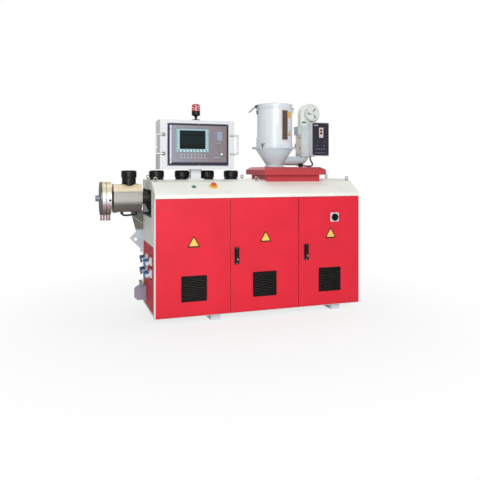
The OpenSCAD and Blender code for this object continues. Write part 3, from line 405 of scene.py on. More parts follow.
# Painted reflections and shade on the clamp: dark at the bottom, pinkish lower down, white about the axis and
# beige at the top.
CLAMP_PAINTED_REFLECTIONS = banded("clamp_painted_reflections", 2, (
    (0.855, "4d4642"), (0.90, "8d7375"), (0.935, "b59a9c"), (0.965, "e8e8ee"), (1, "f2f3f8"),
    (1.03, "e9dfc8"), (1.10, "ead8b4"), (1.123, "cdbb98")), 0.4, 0.35)
# Painted light and shade on the guard's facets: dark grey at the bottom, mid grey on the sides and a warm tan
# on top, where light from above falls.
GUARD_PAINTED_LIGHT = banded("guard_painted_light", 2, (
    (0.87, "5e5b55"), (0.957, "78756e"), (0.961, "a4a39f"), (0.99, "b3aea7"), (1.045, "a5a39e"),
    (1.049, "e8d8b6"), (1.106, "d9c8a6")), 0.36, 0.4, grain=(420, 0.12), stretch=(0.08, 4, 4))
# Painted shade on the operator panel: pale bluish grey at one end, darker and warmer grey towards the other
# along X.
PANEL_PAINTED_SHADE = banded("panel_painted_shade", 0, (
    (-0.545, "8e93a2"), (-0.42, "888793"), (-0.2, "827780"), (-0.055, "776b70")),
    0.45, 0, grain=(800, 0.06), stretch=(1, 1, 1))
# Painted shadow on the guard's bracket: light blue-grey below Z 0.70 m, dark olive above it where the guard
# shades it.
BRACKET_PAINTED_SHADOW = banded("bracket_painted_shadow", 2, (
    (0.49, "d5dde2"), (0.69, "cdd6dc"), (0.70, "77756a"), (0.80, "6e6d62"), (0.861, "8c8b83")),
    0.42, 0, grain=(900, 0.05), stretch=(1, 1, 1))
# Painted shade: a dark, faintly glowing finish for the shade inside the barrel's opening.
PAINTED_SHADE_SHEET = surface("shade_sheet", "3f4038", 0.7, tone=0.2, tone_scale=8, grain=(300, 0.2), shine=0.1, glow=0.12)
# Painted light: a pale glowing finish for the light that falls into the opening's lower corner.
MOUTH_PAINTED_LIGHT = surface("mouth_painted_light", "a9abad", 0.5, tone=0.08, glow=0.25)
# Painted light: a bluer copy of the hopper's paint, tinted against the red light the stand bounces onto the
# cone.
CONE_COUNTERTINT = surface("cone_countertint", "cfe0e6", 0.34, tone=0.03, dirt=0.05)
WINDOW_FRAME = surface("window_frame", "c9b9ae", 0.4, metal=0.3, tone=0.08)
LABEL_YELLOW = surface("label_yellow", "e6b23f", 0.4, tone=0.1, tone_scale=40)
LABEL_ORANGE = surface("label_orange", "dc9560", 0.4, tone=0.1, tone_scale=40)
LABEL_CREAM = surface("slot_cream", "e9e4c4", 0.4)
BLOWER_PAINT = surface("blower_paint", "dde2dc", 0.40, tone=0.04, dirt=0.12)
# Painted light: a warm cream for the heater box's left side, which the light there turns beige.
HEATER_PAINTED_LIGHT = surface("heater_painted_light", "e9e6d6", 0.42, dirt=0.12)
BEZEL = surface("bezel", "d9c8be", 0.4)
DARK_GREEN = surface("dark_green", "173a35", 0.3, tone=0.08, coat=0.2)
DARK_RED = surface("dark_red", "6a2a2e", 0.3, tone=0.08, coat=0.2)

FINISHES = (
    (CREAM, "floor_pan front_frame back_wall end_wall_left end_wall_right hood hood_top"),
    (RED, "front_cover door_middle door_right"),
    (BLACK_MATTE, "vent_left vent_middle vent_right"),
    (WHITE_PAINT, "post control_box dryer_box"),
    (BLACK, "handle_middle handle_right switch_knob beacon_base"),
    (WHITE_PLASTIC, "switch_plate socket_bodies"),
    (STEEL, "start_bezel box_handles"),
    (SLATE, "panel_frame dryer_face"),
    (CLAMP_PAINTED_REFLECTIONS, "clamp_front clamp_rear"),
    (RUBBER, "mouth_trim guard_conduit dryer_cable"),
    (HOPPER_PAINT, "hopper_shell hopper_lid"),
    (DRYER_PAINT, "hot_air_pipe heater_box"),
    (FOOT, "feet"), (END_RED_SHADED, "end_panel"), (ZINC, "lifting_eyes"), (GREEN, "start_button"),
    (YELLOW, "stop_plate"), (ORANGE, "stop_button"), (PANEL_PAINTED_SHADE, "operator_panel"), (LENS, "beacon_lens"),
    (DARK_STEEL, "barrel"), (TIP, "screw"), (BOLT_PINK, "clamp_bolts"), (GUARD_PAINTED_LIGHT, "barrel_guard"),
    (STACK, "cooling_stacks"), (BRACKET_PAINTED_SHADOW, "guard_bracket"), (BLUE, "socket_lids"),
    (GREY_PLASTIC, "terminal_box"), (CASTING, "feed_block"), (STAND_RED_DIMMED, "hopper_stand"),
    (CONE_COUNTERTINT, "hopper_cone"), (PELLETS, "sight_glass"), (CLASP, "lid_latch"), (BLOWER_PAINT, "blower"),
)
SMOOTH_ANGLE = 35


def finish_nodes():
    """Gives every CAD node its finish."""
    finish = {name: material for material, names in FINISHES for name in names.split()}
    for name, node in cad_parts.items():
        node.data.materials.clear()
        node.data.materials.append(finish[name])


# Mesh tools

class Kit:
    """Many small solids on one body, joined into one piece."""

    def __init__(self, name, slot, material, body="machine"):
        self.name, self.slot, self.material, self.body = name, slot, material, body
        self.bm = bmesh.new()

    def _put(self, verts, place):
        """Moves new points from the local drawing to their place."""
        for v in verts:
            v.co = place @ v.co

    def block(self, low, high, place, bevel=0):
        """A box between two local corners, with rounded edges."""
        size = [h - l for l, h in zip(low, high)]
        middle = [(h + l) / 2 for l, h in zip(low, high)]
        fit = Matrix.Translation(middle) @ Matrix.Diagonal((*size, 1))
        verts = bmesh.ops.create_cube(self.bm, size=1, matrix=fit)["verts"]
        if bevel:
            edges = list(dict.fromkeys(e for v in verts for e in v.link_edges))
            made = bmesh.ops.bevel(self.bm, geom=edges, offset=bevel, segments=2, affect="EDGES")
            verts = list(dict.fromkeys([v for f in made["faces"] for v in f.verts]
                                       + [v for v in verts if v.is_valid]))
        self._put(verts, place)
        return self

    def border(self, outer, inner, low, high, place):
        """Four bars round an opening, each rectangle given as its left, right, bottom and top."""
        x0, x1, y0, y1 = outer
        ix0, ix1, iy0, iy1 = inner
        for a, b in (((x0, y0), (x1, iy0)), ((x0, iy1), (x1, y1)),
                     ((x0, iy0), (ix0, iy1)), ((ix1, iy0), (x1, iy1))):
            self.block((*a, low), (*b, high), place)

    def lathe(self, profile, place, segments=32, start=0, sweep=360):
        """A profile of (radius, height) turned about the local Z axis."""
        count = segments + (sweep < 360)
        rings = []
        for k in range(count):
            degrees = start + sweep * k / segments
            rings.append([self.bm.verts.new((*spoke(r, degrees), h)) for r, h in profile])
        for k in range(segments):
            i, j = rings[k], rings[(k + 1) % count]
            for p in range(len(profile) - 1):
                self.bm.faces.new([i[p], j[p], j[p + 1], i[p + 1]])
        verts = [v for ring in rings for v in ring]
        bmesh.ops.remove_doubles(self.bm, verts=verts, dist=1e-4)
        self._put([v for v in verts if v.is_valid], place)
        return self

    def prism(self, outline, low, high, place):
        """An outline in local X and Y between two heights."""
        bottom = [self.bm.verts.new((x, y, low)) for x, y in outline]
        top = [self.bm.verts.new((x, y, high)) for x, y in outline]
        self.bm.faces.new(list(reversed(bottom)))
        self.bm.faces.new(top)
        n = len(outline)
        for i in range(n):
            self.bm.faces.new([bottom[i], bottom[(i + 1) % n], top[(i + 1) % n], top[i]])
        self._put(bottom + top, place)
        return self

    def tube(self, points, radius, place, sides=10):
        """A round bar along local points."""
        points = [Vector(p) for p in points]
        rings = []
        side = (points[1] - points[0]).orthogonal()
        for i, p in enumerate(points):
            d = (points[min(i + 1, len(points) - 1)] - points[max(i - 1, 0)]).normalized()
            side = (side - d * side.dot(d)).normalized()
            up = d.cross(side)
            turns = [tau * k / sides for k in range(sides)]
            rings.append([self.bm.verts.new(p + radius * (cos(a) * side + sin(a) * up))
                          for a in turns])
        for a, b in zip(rings, rings[1:]):
            for k in range(sides):
                self.bm.faces.new([a[k], a[(k + 1) % sides], b[(k + 1) % sides], b[k]])
        self.bm.faces.new(list(reversed(rings[0])))
        self.bm.faces.new(rings[-1])
        self._put([v for ring in rings for v in ring], place)
        return self

    def done(self, replaces=()):
        """Makes the piece and puts it on its body, in place of the named CAD nodes if any."""
        bmesh.ops.recalc_face_normals(self.bm, faces=self.bm.faces)
        for f in self.bm.faces:
            f.smooth = True
        mesh = bpy.data.meshes.new(self.name)
        self.bm.to_mesh(mesh)
        self.bm.free()
        mesh.set_sharp_from_angle(angle=radians(SMOOTH_ANGLE))
        mesh.materials.append(self.material)
        piece = bpy.data.objects.new(self.name, mesh)
        scene.collection.objects.link(piece)
        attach(piece, self.body)
        if replaces:
            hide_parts(*replaces)
        return piece


def disc(r, h, bevel=0.5):
    """Profile of a short round head standing on its face."""
    return [(0, h), (r - bevel, h), (r, h - bevel), (r, 0), (0, 0)]


def rounded(w, h, r, steps=4):
    """Outline of a rectangle with round corners about the local origin."""
    points = []
    for cx, cy, start in ((1, 1, 0), (-1, 1, 90), (-1, -1, 180), (1, -1, 270)):
        for k in range(steps + 1):
            x, y = spoke(r, start + 90 * k / steps)
            points.append((cx * (w / 2 - r) + x, cy * (h / 2 - r) + y))
    return points


def slanted(w, h, lean):
    """Outline of an upright parallelogram about the local origin."""
    return [(-w / 2 - lean, -h / 2), (w / 2 - lean, -h / 2), (w / 2 + lean, h / 2), (-w / 2 + lean, h / 2)]


def triangle(w, h, corner):
    """Outline of an upright triangle with cut corners about the local origin."""
    k = corner / w
    tips = [(-w / 2, -h / 2), (w / 2, -h / 2), (0, h / 2)]
    points = []
    for i, (x, y) in enumerate(tips):
        for nx, ny in (tips[i - 1], tips[(i + 1) % 3]):
            points.append((x + (nx - x) * k, y + (ny - y) * k))
    return points


def screw_heads(kit, places, facing, r, h):
    """Round heads with a round recess."""
    profile = [(0, h - 0.5), (r * 0.3, h - 0.5), (r * 0.36, h), (r - 0.7, h), (r, h - 0.6), (r, 0)]
    for x, y, z in places:
        kit.lathe(profile, pose(x, y, z, facing), 14)


# Cords

CONDUIT = (
    (-217, 345, 877.6), (-216.6, 345.2, 868), (-213, 347.5, 857), (-203, 354.5, 848), (-184, 371, 843.5),
    (-155, 409, 841), (-125, 455, 840), (-104, 500, 838.5), (-87, 548, 837.4), (-75, 594, 837),
    (-70, 630.6, 837))
CABLE = (
    (1466, 290, 1341.5), (1466.4, 290, 1328), (1469, 289, 1314), (1475, 286.5, 1299), (1482, 282.5, 1284.5),
    (1483, 276.5, 1270), (1472, 268, 1259), (1450, 257, 1254.4), (1420, 245, 1254), (1385, 234.5, 1257),
    (1352, 228, 1263))
CORDS = (("conduit", "guard_conduit", CONDUIT, 8, 0.351), ("heater_cable", "dryer_cable", CABLE, 7, 0.223))
ROUTE_STEPS = 3


def smooth_route(points, steps):
    """Points on a smooth curve through given points, with steps between two of them."""
    points = [Vector(p) for p in points]
    route = []
    for i in range(len(points) - 1):
        a, b, c, d = points[max(i - 1, 0)], points[i], points[i + 1], points[min(i + 2, len(points) - 1)]
        for k in range(steps):
            t = k / steps
            route.append(0.5 * (2 * b + (c - a) * t + (2 * a - 5 * b + 4 * c - d) * t ** 2
                                + (3 * b - a - 3 * c + d) * t ** 3))
    return route + [points[-1]]


def add_cords():
    """The conduit between guard and bracket, and the heater's cable with its gland on the stand."""
    for name, node, points, radius, length in CORDS:
        route = smooth_route(points, ROUTE_STEPS)
        kit = Kit(name, "rubber", RUBBER)
        kit.tube(route, radius, LAYOUT, 16)
        piece = kit.done((node,))
    Kit("cable_gland", "rubber", BLACK).block((1327, 207, 1246.3), (1355, 249, 1279), LAYOUT, 2.5).done()


# Fronts

PLATES = (("machine", 308, 652), ("door_middle", 919, 672), ("door_right", 1520, 680))
PLATE_BORDER, PLATE_FACE, PLATE_BOSS = (108, 96, 7), (78, 68, 6), (44, 38, 5)
HANDLES = (("door_middle", 667), ("door_right", 1290))
HANDLE_SCREWS_Z = (583, 461)
LOCK_Y, LOCK_Z = -24, 494.8
HINGES = (("door_middle", 1205), ("door_right", 1789))
LIP_Z = 1009
VENTS = (("machine", 311), ("door_middle", 911), ("door_right", 1511))
VENT_Z = 278
VENT_WIRES, WIRE_PITCH, WIRE_REACH = 7, 23, 91
SWITCH_X, SWITCH_Y, SWITCH_Z = 1557, -6, 812
KNURLS = 28


def add_plates():
    """Plain yellow triangular plates with a dark border, one on each front."""
    for body, x, z in PLATES:
        Kit(f"plate_border_{body}", "black_plastic", PLATE_EDGE, body).prism(
            triangle(*PLATE_BORDER), 0, 0.8, pose(x, 0, z, FRONT)).done()
        plate = Kit(f"plate_{body}", "yellow_plastic", YELLOW, body)
        plate.prism(triangle(*PLATE_FACE), 0.6, 1.4, pose(x, 0, z - 3, FRONT))
        plate.prism(triangle(*PLATE_BOSS), 1.2, 1.9, pose(x, 0, z - 3, FRONT))
        plate.done()


def add_edges():
    """A cream strip down the left front corner, and a pale glowing strip on the end wall's front edge that
    paints its highlight.
    """
    Kit("corner_strip", "cream_paint", CREAM).block((0.4, -1.2, 60), (4, 1.2, 992), LAYOUT, 0.5).done()
    Kit("end_wall_edge", "cream_paint", EDGE_PAINTED_HIGHLIGHT).block((-0.5, 1, 62), (0.3, 47, 990), LAYOUT).done()


def add_locks():
    """A round lock with its key slot in each door handle, and the handle's screws."""
    for body, x in HANDLES:
        face = pose(x, LOCK_Y, LOCK_Z, FRONT)
        lock = Kit(f"lock_{body}", "zinc", ZINC, body)
        lock.lathe([(0, 1.6), (2.6, 1.6), (2.6, 1.9), (7.6, 1.9), (8.4, 1.2), (8.4, -1)], face, 24)
        for z in HANDLE_SCREWS_Z:
            lock.lathe(disc(5.2, 1.4, 0.6), pose(x, -6, z, FRONT), 18)
        lock.done()
        # Painted shade: a black bar for the dark inside of the key slot.
        Kit(f"key_slot_shade_{body}", "black_plastic", BLACK_MATTE, body).block(
            (-1, -4, 1.5), (1, 4, 2.2), face).done()


def add_front_screws():
    """Screws at the doors' hinges, on the fixed cover and along the hood's lip."""
    for body, x in HINGES:
        heads = Kit(f"hinge_heads_{body}", "red_paint", RED, body)
        screw_heads(heads, [(x, 0, z) for z in (66, 76, 978, 988)], FRONT, 3, 0.9)
        heads.done()
    heads = Kit("cover_screws", "red_paint", RED)
    screw_heads(heads, [(x, 0, z) for x in (20, 596) for z in (80, 970)], FRONT, 4, 1.2)
    heads.done()
    lip = Kit("hood_screws", "cream_paint", CREAM)
    screw_heads(lip, [(x, 0, LIP_Z) for x in (30, 465, 900, 1335, 1770)], FRONT, 4.5, 1.6)
    lip.done()


def add_vent_grids():
    """Upright wires in front of each vent's blades and a screw at each corner."""
    for body, x in VENTS:
        grid = Kit(f"vent_wires_{body}", "black_plastic", BLACK_MATTE, body)
        for k in range(VENT_WIRES):
            dx = (k - (VENT_WIRES - 1) / 2) * WIRE_PITCH
            grid.block((dx - 0.6, -WIRE_REACH, 3.6), (dx + 0.6, WIRE_REACH, 4.6), pose(x, 0, VENT_Z, FRONT))
        screw_heads(grid, [(sx, -4, sz) for sx, sz in corners(x, VENT_Z, 98, 95.5)], FRONT, 3.2, 1.2)
        grid.done()


def add_switch_details():
    """Dial ring and screws of the main switch, and the pointer and knurls of its knob."""
    ring = Kit("switch_ring", "white_plastic", MARK, "door_right")
    ring.lathe([(31.5, 0), (31.5, 2.2), (33.2, 2.8), (35.5, 2), (36, 0)],
               pose(SWITCH_X, SWITCH_Y, SWITCH_Z, FRONT), 40)
    screw_heads(ring, [(x, SWITCH_Y, z) for x, z in corners(SWITCH_X, SWITCH_Z, 31, 31)], FRONT, 3, 1)
    ring.done()
    Kit("switch_pointer", "white_plastic", MARK, "main_switch").block(
        (-2, 12, 31.4), (2, 25, 32.4), pose(SWITCH_X, SWITCH_Y + 0.4, SWITCH_Z, FRONT), 0.3).done()
    ribs = Kit("switch_knurl", "black_plastic", BLACK, "main_switch")
    for k in range(KNURLS):
        x, y = spoke(30, 360 * k / KNURLS)
        ribs.tube([(x, y, 1.5), (x, y, 10.5)], 1.1, pose(SWITCH_X, SWITCH_Y - 0.3, SWITCH_Z, FRONT), 6)
    ribs.done()


# Control box

BOX = "control_box"
PANEL_Y = 159
PANEL = pose(0, PANEL_Y, 0, FRONT)
GLASS = (227, 445, 1391.5, 1544.5)
SCREEN_FACE = (201, 471, 1366.5, 1554.5)
SIDE_KEYS, SIDE_KEY_PITCH = 6, 24.5
LOW_KEYS, LOW_KEY_PITCH = 8, 28.5
BOX_Y = 162
BOX_SEAM = (78, 652, 1238, 1620)
BEACON = (373, 198)
LENS_RIBS = 26


def add_panel_edges():
    """The operator panel's label strip and grooves."""
    strip = Kit("panel_strip", "white_plastic", MARK, BOX)
    for z0, z1 in ((1272, 1299), (1303, 1551), (1555, 1585)):
        strip.block((146, z0, 0), (160, z1, 1), PANEL, 0.3)
    strip.done()
    line = Kit("panel_groove", "slate", PANEL_LINE, BOX)
    line.block((163.5, 1271, 0), (168, 1586, 0.5), PANEL)
    for x0, x1, z0, z1 in ((520, 531, 1468, 1539), (536, 546, 1357, 1373), (574, 586, 1376, 1392)):
        line.block((x0, z0, 0), (x1, z1, 0.8), PANEL, 0.2)
    line.done()


def add_screen():
    """The screen's frame, glass and dark bands, and the sill of the panel."""
    gx0, gx1, gz0, gz1 = GLASS
    face = Kit("screen_frame", "panel_grey", CYAN, BOX)
    face.border(SCREEN_FACE, GLASS, 2.6, 3.6, PANEL)
    face.done()
    Kit("screen_glass", "panel_grey", SCREEN, BOX).block((gx0, gz0, 0.6), (gx1, gz1, 1.9), PANEL, 0.3).done()
    sill = Kit("panel_sill", "slate", SLATE, BOX)
    sill.block((143.5, 1271, 0), (628.5, 1283, 0.8), PANEL)
    sill.block((143.5, 1271, 0), (148, 1586, 0.8), PANEL)
    sill.done()
    bands = Kit("screen_bands", "panel_grey", SCREEN_DARK, BOX)
    bands.block((gx0 + 26, 1498, 1.8), (gx1 - 26, 1516, 2.1), PANEL)
    bands.block((gx0 + 6, 1394, 1.8), (gx1 - 6, 1432, 2.1), PANEL)
    bands.done()


def add_keys():
    """Keys beside the screen, the slanted keys below it and two rows of square ones."""
    side = Kit("screen_keys", "panel_grey", KEY_GREY, BOX)
    for k in range(SIDE_KEYS):
        for x in (207, 464):
            side.prism(rounded(9, 7, 1.6, 2), 3.5, 4.4, pose(x, PANEL_Y, 1409 + k * SIDE_KEY_PITCH, FRONT))
    side.done()
    gaps = Kit("key_gaps", "panel_grey", KEY_TEAL, BOX)
    for k in range(LOW_KEYS + 1):
        gaps.prism(slanted(13, 17, -3.5), 3.5, 4, pose(222 + k * LOW_KEY_PITCH, PANEL_Y, 1379, FRONT))
    gaps.done()
    keys = Kit("slanted_keys", "white_plastic", MARK, BOX)
    for k in range(LOW_KEYS):
        keys.prism(slanted(12, 16, -3.5), 3.5, 4.6, pose(236 + k * LOW_KEY_PITCH, PANEL_Y, 1379, FRONT))
        for z, top in ((1344.5, 3.6), (1321, 1.4)):
            keys.prism(slanted(8, 8, 2.5), 0, top, pose(240.6 + k * LOW_KEY_PITCH, PANEL_Y, z, FRONT))
    keys.done()


def add_panel_controls():
    """The operator panel's small window, plain marks, lamp and button."""
    Kit("panel_windows", "blue_plastic", PANEL_BLUE, BOX).block(
        (544, 1465, 0), (590, 1539, 0.9), PANEL, 0.3).done()
    faint = Kit("panel_marks", "panel_grey", PALE_MARK, BOX)
    for x, w, z in ((522, 8, 1444), (563, 28, 1444), (539, 52, 1324), (525, 6, 1372), (596, 5, 1372)):
        faint.block((x - w / 2, z - 2.2, 0), (x + w / 2, z + 2.2, 0.6), PANEL, 0.2)
    faint.done()
    Kit("panel_lamp", "white_plastic", LAMP_WHITE, BOX).lathe(
        [(0, 4.2), (4, 3.8), (7, 2.2), (8, 0)], pose(585, PANEL_Y, 1352, FRONT), 20).done()
    Kit("panel_button", "green_plastic", GREEN, BOX).lathe(
        [(0, 4), (9, 4), (10.5, 3), (11, 0)], pose(585, PANEL_Y, 1327, FRONT), 24).done()


def add_box_details():
    """Door seam, feet of the left grip and screws of the panel's frame."""
    x0, x1, z0, z1 = BOX_SEAM
    seam = Kit("box_seam", "white_paint", MARK, BOX)
    for low, high in (((x0, z0), (x1, z0 + 2)), ((x0, z1 - 2), (x1, z1)),
                      ((x0, z0), (x0 + 2, z1)), ((x1 - 2, z0), (x1, z1))):
        seam.block((*low, -0.4), (*high, 0.25), pose(0, BOX_Y, 0, FRONT))
    seam.done()
    seats = Kit("grip_seats", "black_plastic", BLACK, BOX)
    for z in (1353, 1507):
        seats.lathe([(9.4, 0), (9.4, 14), (11, 14), (12, 13), (12, 3), (13.6, 2), (13.6, 0)],
                    pose(96, BOX_Y, z, FRONT), 20)
    seats.done()
    screws = Kit("frame_screws", "zinc", ZINC, BOX)
    screw_heads(screws, [(x, 157, z) for x in (135.5, 386, 636.5) for z in (1263, 1594)], FRONT, 3, 1)
    screws.done()


def add_beacon_details():
    """Ribs round the beacon's lens, two rings and the foot of its body."""
    ribs = Kit("lens_ribs", "red_lens", LENS, BOX)
    for k in range(LENS_RIBS):
        x, y = spoke(33.6, 360 * k / LENS_RIBS)
        ribs.tube([(x, y, 2), (x, y, 47)], 1.3, pose(*BEACON, 1707, FLAT), 6)
    ribs.done()
    rings = Kit("beacon_rings", "black_plastic", BLACK, BOX)
    rings.lathe([(34.6, 0), (36, 1), (36, 6), (34.6, 7)], pose(*BEACON, 1699, FLAT), 36)
    rings.lathe([(34.6, 0), (35.8, 1), (35.8, 3), (34.6, 4)], pose(*BEACON, 1679, FLAT), 36)
    rings.lathe([(34, 0), (35, 0.6), (35, 7), (30, 8.4), (12, 9)], pose(*BEACON, 1631, FLAT), 36)
    rings.done()


# Barrel line

BARREL_Y, BARREL_Z = 345, 989
CLAMP_DISCS = ((-390, -352), (-345, -309))
CLAMP_RIM_R = 134.6
EYE_DROP = 11
CLAMP_BOLTS_X = (-371, -327)
GUARD_HALF = 111
GUARD_SCREW_OUT = 117.2
STACKS = ((-159, 1102), (70, 1139), (288, 1139), (506, 1139), (724, 1139))


def on_axis(x):
    """A place on the screw's axis that faces the die's end."""
    return pose(x, BARREL_Y, BARREL_Z, LEFT)


def add_clamp_details():
    """Turned face, rims with painted reflections and shade, dark bevel and eye of the clamp (a black disc of
    painted shade), the screw's tip and collars on the bolts.
    """
    face = Kit("clamp_face", "dark_steel", CLAMP_FACE)
    profile = [(27, 0), (28, 1.2)]
    for r in range(40, 130, 10):
        profile += [(r - 1.2, 1.2), (r, 0.7), (r + 1.2, 1.2)]
    face.lathe(profile + [(131, 1.2), (132.5, 0)], on_axis(-392), 64)
    face.done()
    # The rims carry the clamp's painted reflections and shade.
    rims = Kit("clamp_rims", "steel", CLAMP_PAINTED_REFLECTIONS)
    for x0, x1 in CLAMP_DISCS:
        rims.lathe([(133.6, 0), (CLAMP_RIM_R, 1.2), (CLAMP_RIM_R, x1 - x0 - 1.2), (133.6, x1 - x0)],
                   on_axis(x1), 72)
    rims.done()
    Kit("clamp_bevel", "dark_steel", CLAMP_FACE).lathe(
        [(134.4, 0), (134.95, 0.4), (134.95, 12.5), (132.6, 14.2)], on_axis(-378), 72).done()
    # Painted shade: a black disc for the dark inside of the clamp's small hole.
    eye = Kit("clamp_hole_shade", "black_plastic", BLACK_MATTE)
    eye_y = BARREL_Y - sqrt(CLAMP_RIM_R ** 2 - EYE_DROP ** 2)
    eye.lathe([(0, 0.8), (9, 0.8), (9, 0)], pose(-320, eye_y, BARREL_Z - EYE_DROP, FRONT), 24)
    eye.done()
    tip = Kit("screw_tip_ring", "steel", TIP, "screw")
    tip.lathe([(0, 0.3), (9, 0.3), (10, 0.1), (24.2, 0.1), (25, -1), (25, -9), (24.4, -10)],
              on_axis(-427), 40)
    tip.done()
    bolts = Kit("bolt_collars", "steel", BOLT_PINK)
    for x in CLAMP_BOLTS_X:
        bolts.lathe([(17.6, 0), (19.2, 0.8), (19.2, 8), (17.8, 9.4), (17.8, 37), (19.4, 38), (19.4, 44)],
                    pose(x, BARREL_Y, 808.5, FLAT), 32)
        bolts.prism([spoke(9.5, a) for a in range(0, 360, 60)], -0.2, 0.6, pose(x, BARREL_Y, 807.8, FLAT))
    bolts.done()


def add_guard_details():
    """Seams and screws of the eight-sided barrel guard."""
    # The seams take the guard's painted light and shade.
    seams = Kit("guard_seams", "stainless", GUARD_PAINTED_LIGHT)
    half, side = GUARD_HALF, GUARD_HALF * tan(radians(22.5))
    for y, z in ((-half, side), (-half, -side), (-side, half), (-side, -half), (side, half), (half, side)):
        seams.tube([(x, BARREL_Y + y * 1.003, BARREL_Z + z * 1.003) for x in (-259, -94)], 1.2, LAYOUT, 6)
    screws = [(x, BARREL_Y - GUARD_SCREW_OUT, BARREL_Z + z) for x in (-275, -78) for z in (-30, 30)]
    screw_heads(seams, screws, FRONT, 3.4, 1.4)
    seams.done()


def add_stack_details():
    """Rings, foot collar and cap of each cooling stack."""
    bands = Kit("stack_rings", "black_plastic", STACK)
    for x, foot in STACKS:
        bands.lathe([(62.6, 0), (64, 0.8), (64, 3.4), (62.8, 4.4)], pose(x, BARREL_Y, 1163.5, FLAT), 48)
        bands.lathe([(56.6, 0), (60.5, 0), (60.5, 3), (58, 5), (56.6, 5)], pose(x, BARREL_Y, foot, FLAT), 48)
        bands.lathe([(0, 1.4), (34, 1.4), (36, 0)], pose(x, BARREL_Y, 1215.6, FLAT), 40)
    bands.done()


def add_conduit_glands():
    """Glands where the conduit leaves the guard and meets the bracket."""
    gland = Kit("conduit_gland", "rubber", BLACK)
    gland.lathe([(8, 0), (13, 0), (13, 7), (11, 9), (11, 18), (8.4, 20)], pose(-217, BARREL_Y, 857, FLAT), 20)
    gland.lathe([(8, 0), (14, 0), (14, 8), (11, 10), (11, 22), (8.4, 24)], pose(-70, 630.5, 837, FRONT), 20)
    gland.done()


# Left end

SOCKETS = [(y, z) for y in (170, 375) for z in (386, 483)]
TERMINAL_Y, TERMINAL_Z = 504, 160


def add_end_screws():
    """Screws of the end panel and of the sockets, and a gland under each socket."""
    heads = Kit("end_panel_screws", "zinc", MARK)
    border = [(-2, y, z) for y in (84, 333, 582) for z in (90, 590)]
    screw_heads(heads, border + [(-2, 150, 552), (-2, 174, 552)], LEFT, 4.2, 1.6)
    heads.done()
    plates = Kit("socket_screws", "zinc", ZINC)
    for y, z in SOCKETS:
        screw_heads(plates, [(-12, sy, sz) for sy, sz in corners(y, z, 27, 29)], LEFT, 2.6, 1)
    plates.done()
    glands = Kit("socket_glands", "rubber", RUBBER)
    for y, z in SOCKETS:
        glands.block((-12, y - 20, z - 47), (-2.2, y + 20, z - 34.5), LAYOUT, 2)
    glands.done()


def add_end_details():
    """Painted shade and light in the barrel's opening (dark sheets round it and a pale glowing triangle in
    its lower corner), the bracket's ring and brace, and the terminal box's lid.
    """
    # Dark sheets round the inside of the opening stand for its shade.
    shade_sheet = Kit("mouth_painted_shade", "casting", PAINTED_SHADE_SHEET)
    for low, high in (((5, 636, 830), (90, 650, 1100)), ((5, 200, 1056), (90, 640, 1062)),
                      ((84, 200, 836), (90, 640, 1062)), ((5, 200, 832), (90, 640, 838))):
        shade_sheet.block(low, high, LAYOUT, 1)
    shade_sheet.done()
    # Painted light: a pale glowing triangle in the opening's lower corner, with the shadow's slant as its
    # upper edge.
    Kit("mouth_painted_light", "steel", MOUTH_PAINTED_LIGHT).prism(
        [(5, 941), (5, 846), (50, 850)], 0, 1, pose(0, 635, 0, FRONT)).done()
    lug = Kit("lug_ring", "bracket_paint", BRACKET)
    lug.lathe([(14, 0), (14, 2), (20, 2.6), (24, 2), (24.6, 0)], pose(-68, 625, 609, FRONT), 28)
    lug.tube([(-92, 629, 814), (-6, 629, 746)], 4, LAYOUT, 8)
    lug.done()
    box = Kit("terminal_lid", "grey_plastic", GREY_PLASTIC)
    box.prism(rounded(86, 74, 8), 0, 1.8, pose(-87.6, TERMINAL_Y, TERMINAL_Z, LEFT))
    screw_heads(box, [(-88.6, y, z) for y, z in corners(TERMINAL_Y, TERMINAL_Z, 34, 28)], LEFT, 3.4, 1.4)
    box.done()


# Hopper

HOPPER = (1135, BARREL_Y)
HOPPER_R = 162
SWING_BOLTS = (216, 336, 96)
SWING_BOLT_Z = 1417
WINDOW_TURN = -76.5
LABEL_STEPS = 8


def add_hopper_beads():
    """Beads round the hopper's shell, ring and foot."""
    beads = Kit("hopper_beads", "hopper_paint", HOPPER_PAINT)
    for z, h in ((1426, 7), (1757, 9)):
        r = HOPPER_R
        beads.lathe([(r - 0.5, 0), (r + 2.6, 1.2), (r + 3.2, h / 2), (r + 2.6, h - 1.2), (r - 0.5, h)],
                    pose(*HOPPER, z, FLAT), 96)
    beads.lathe([(181.6, 0), (184, 1.4), (184, 5), (181.6, 6.4)], pose(*HOPPER, 1414, FLAT), 96)
    beads.lathe([(69, 0), (78, 0), (79.5, 1), (79.5, 4), (72, 6)], pose(*HOPPER, 1254, FLAT), 48)
    beads.done()


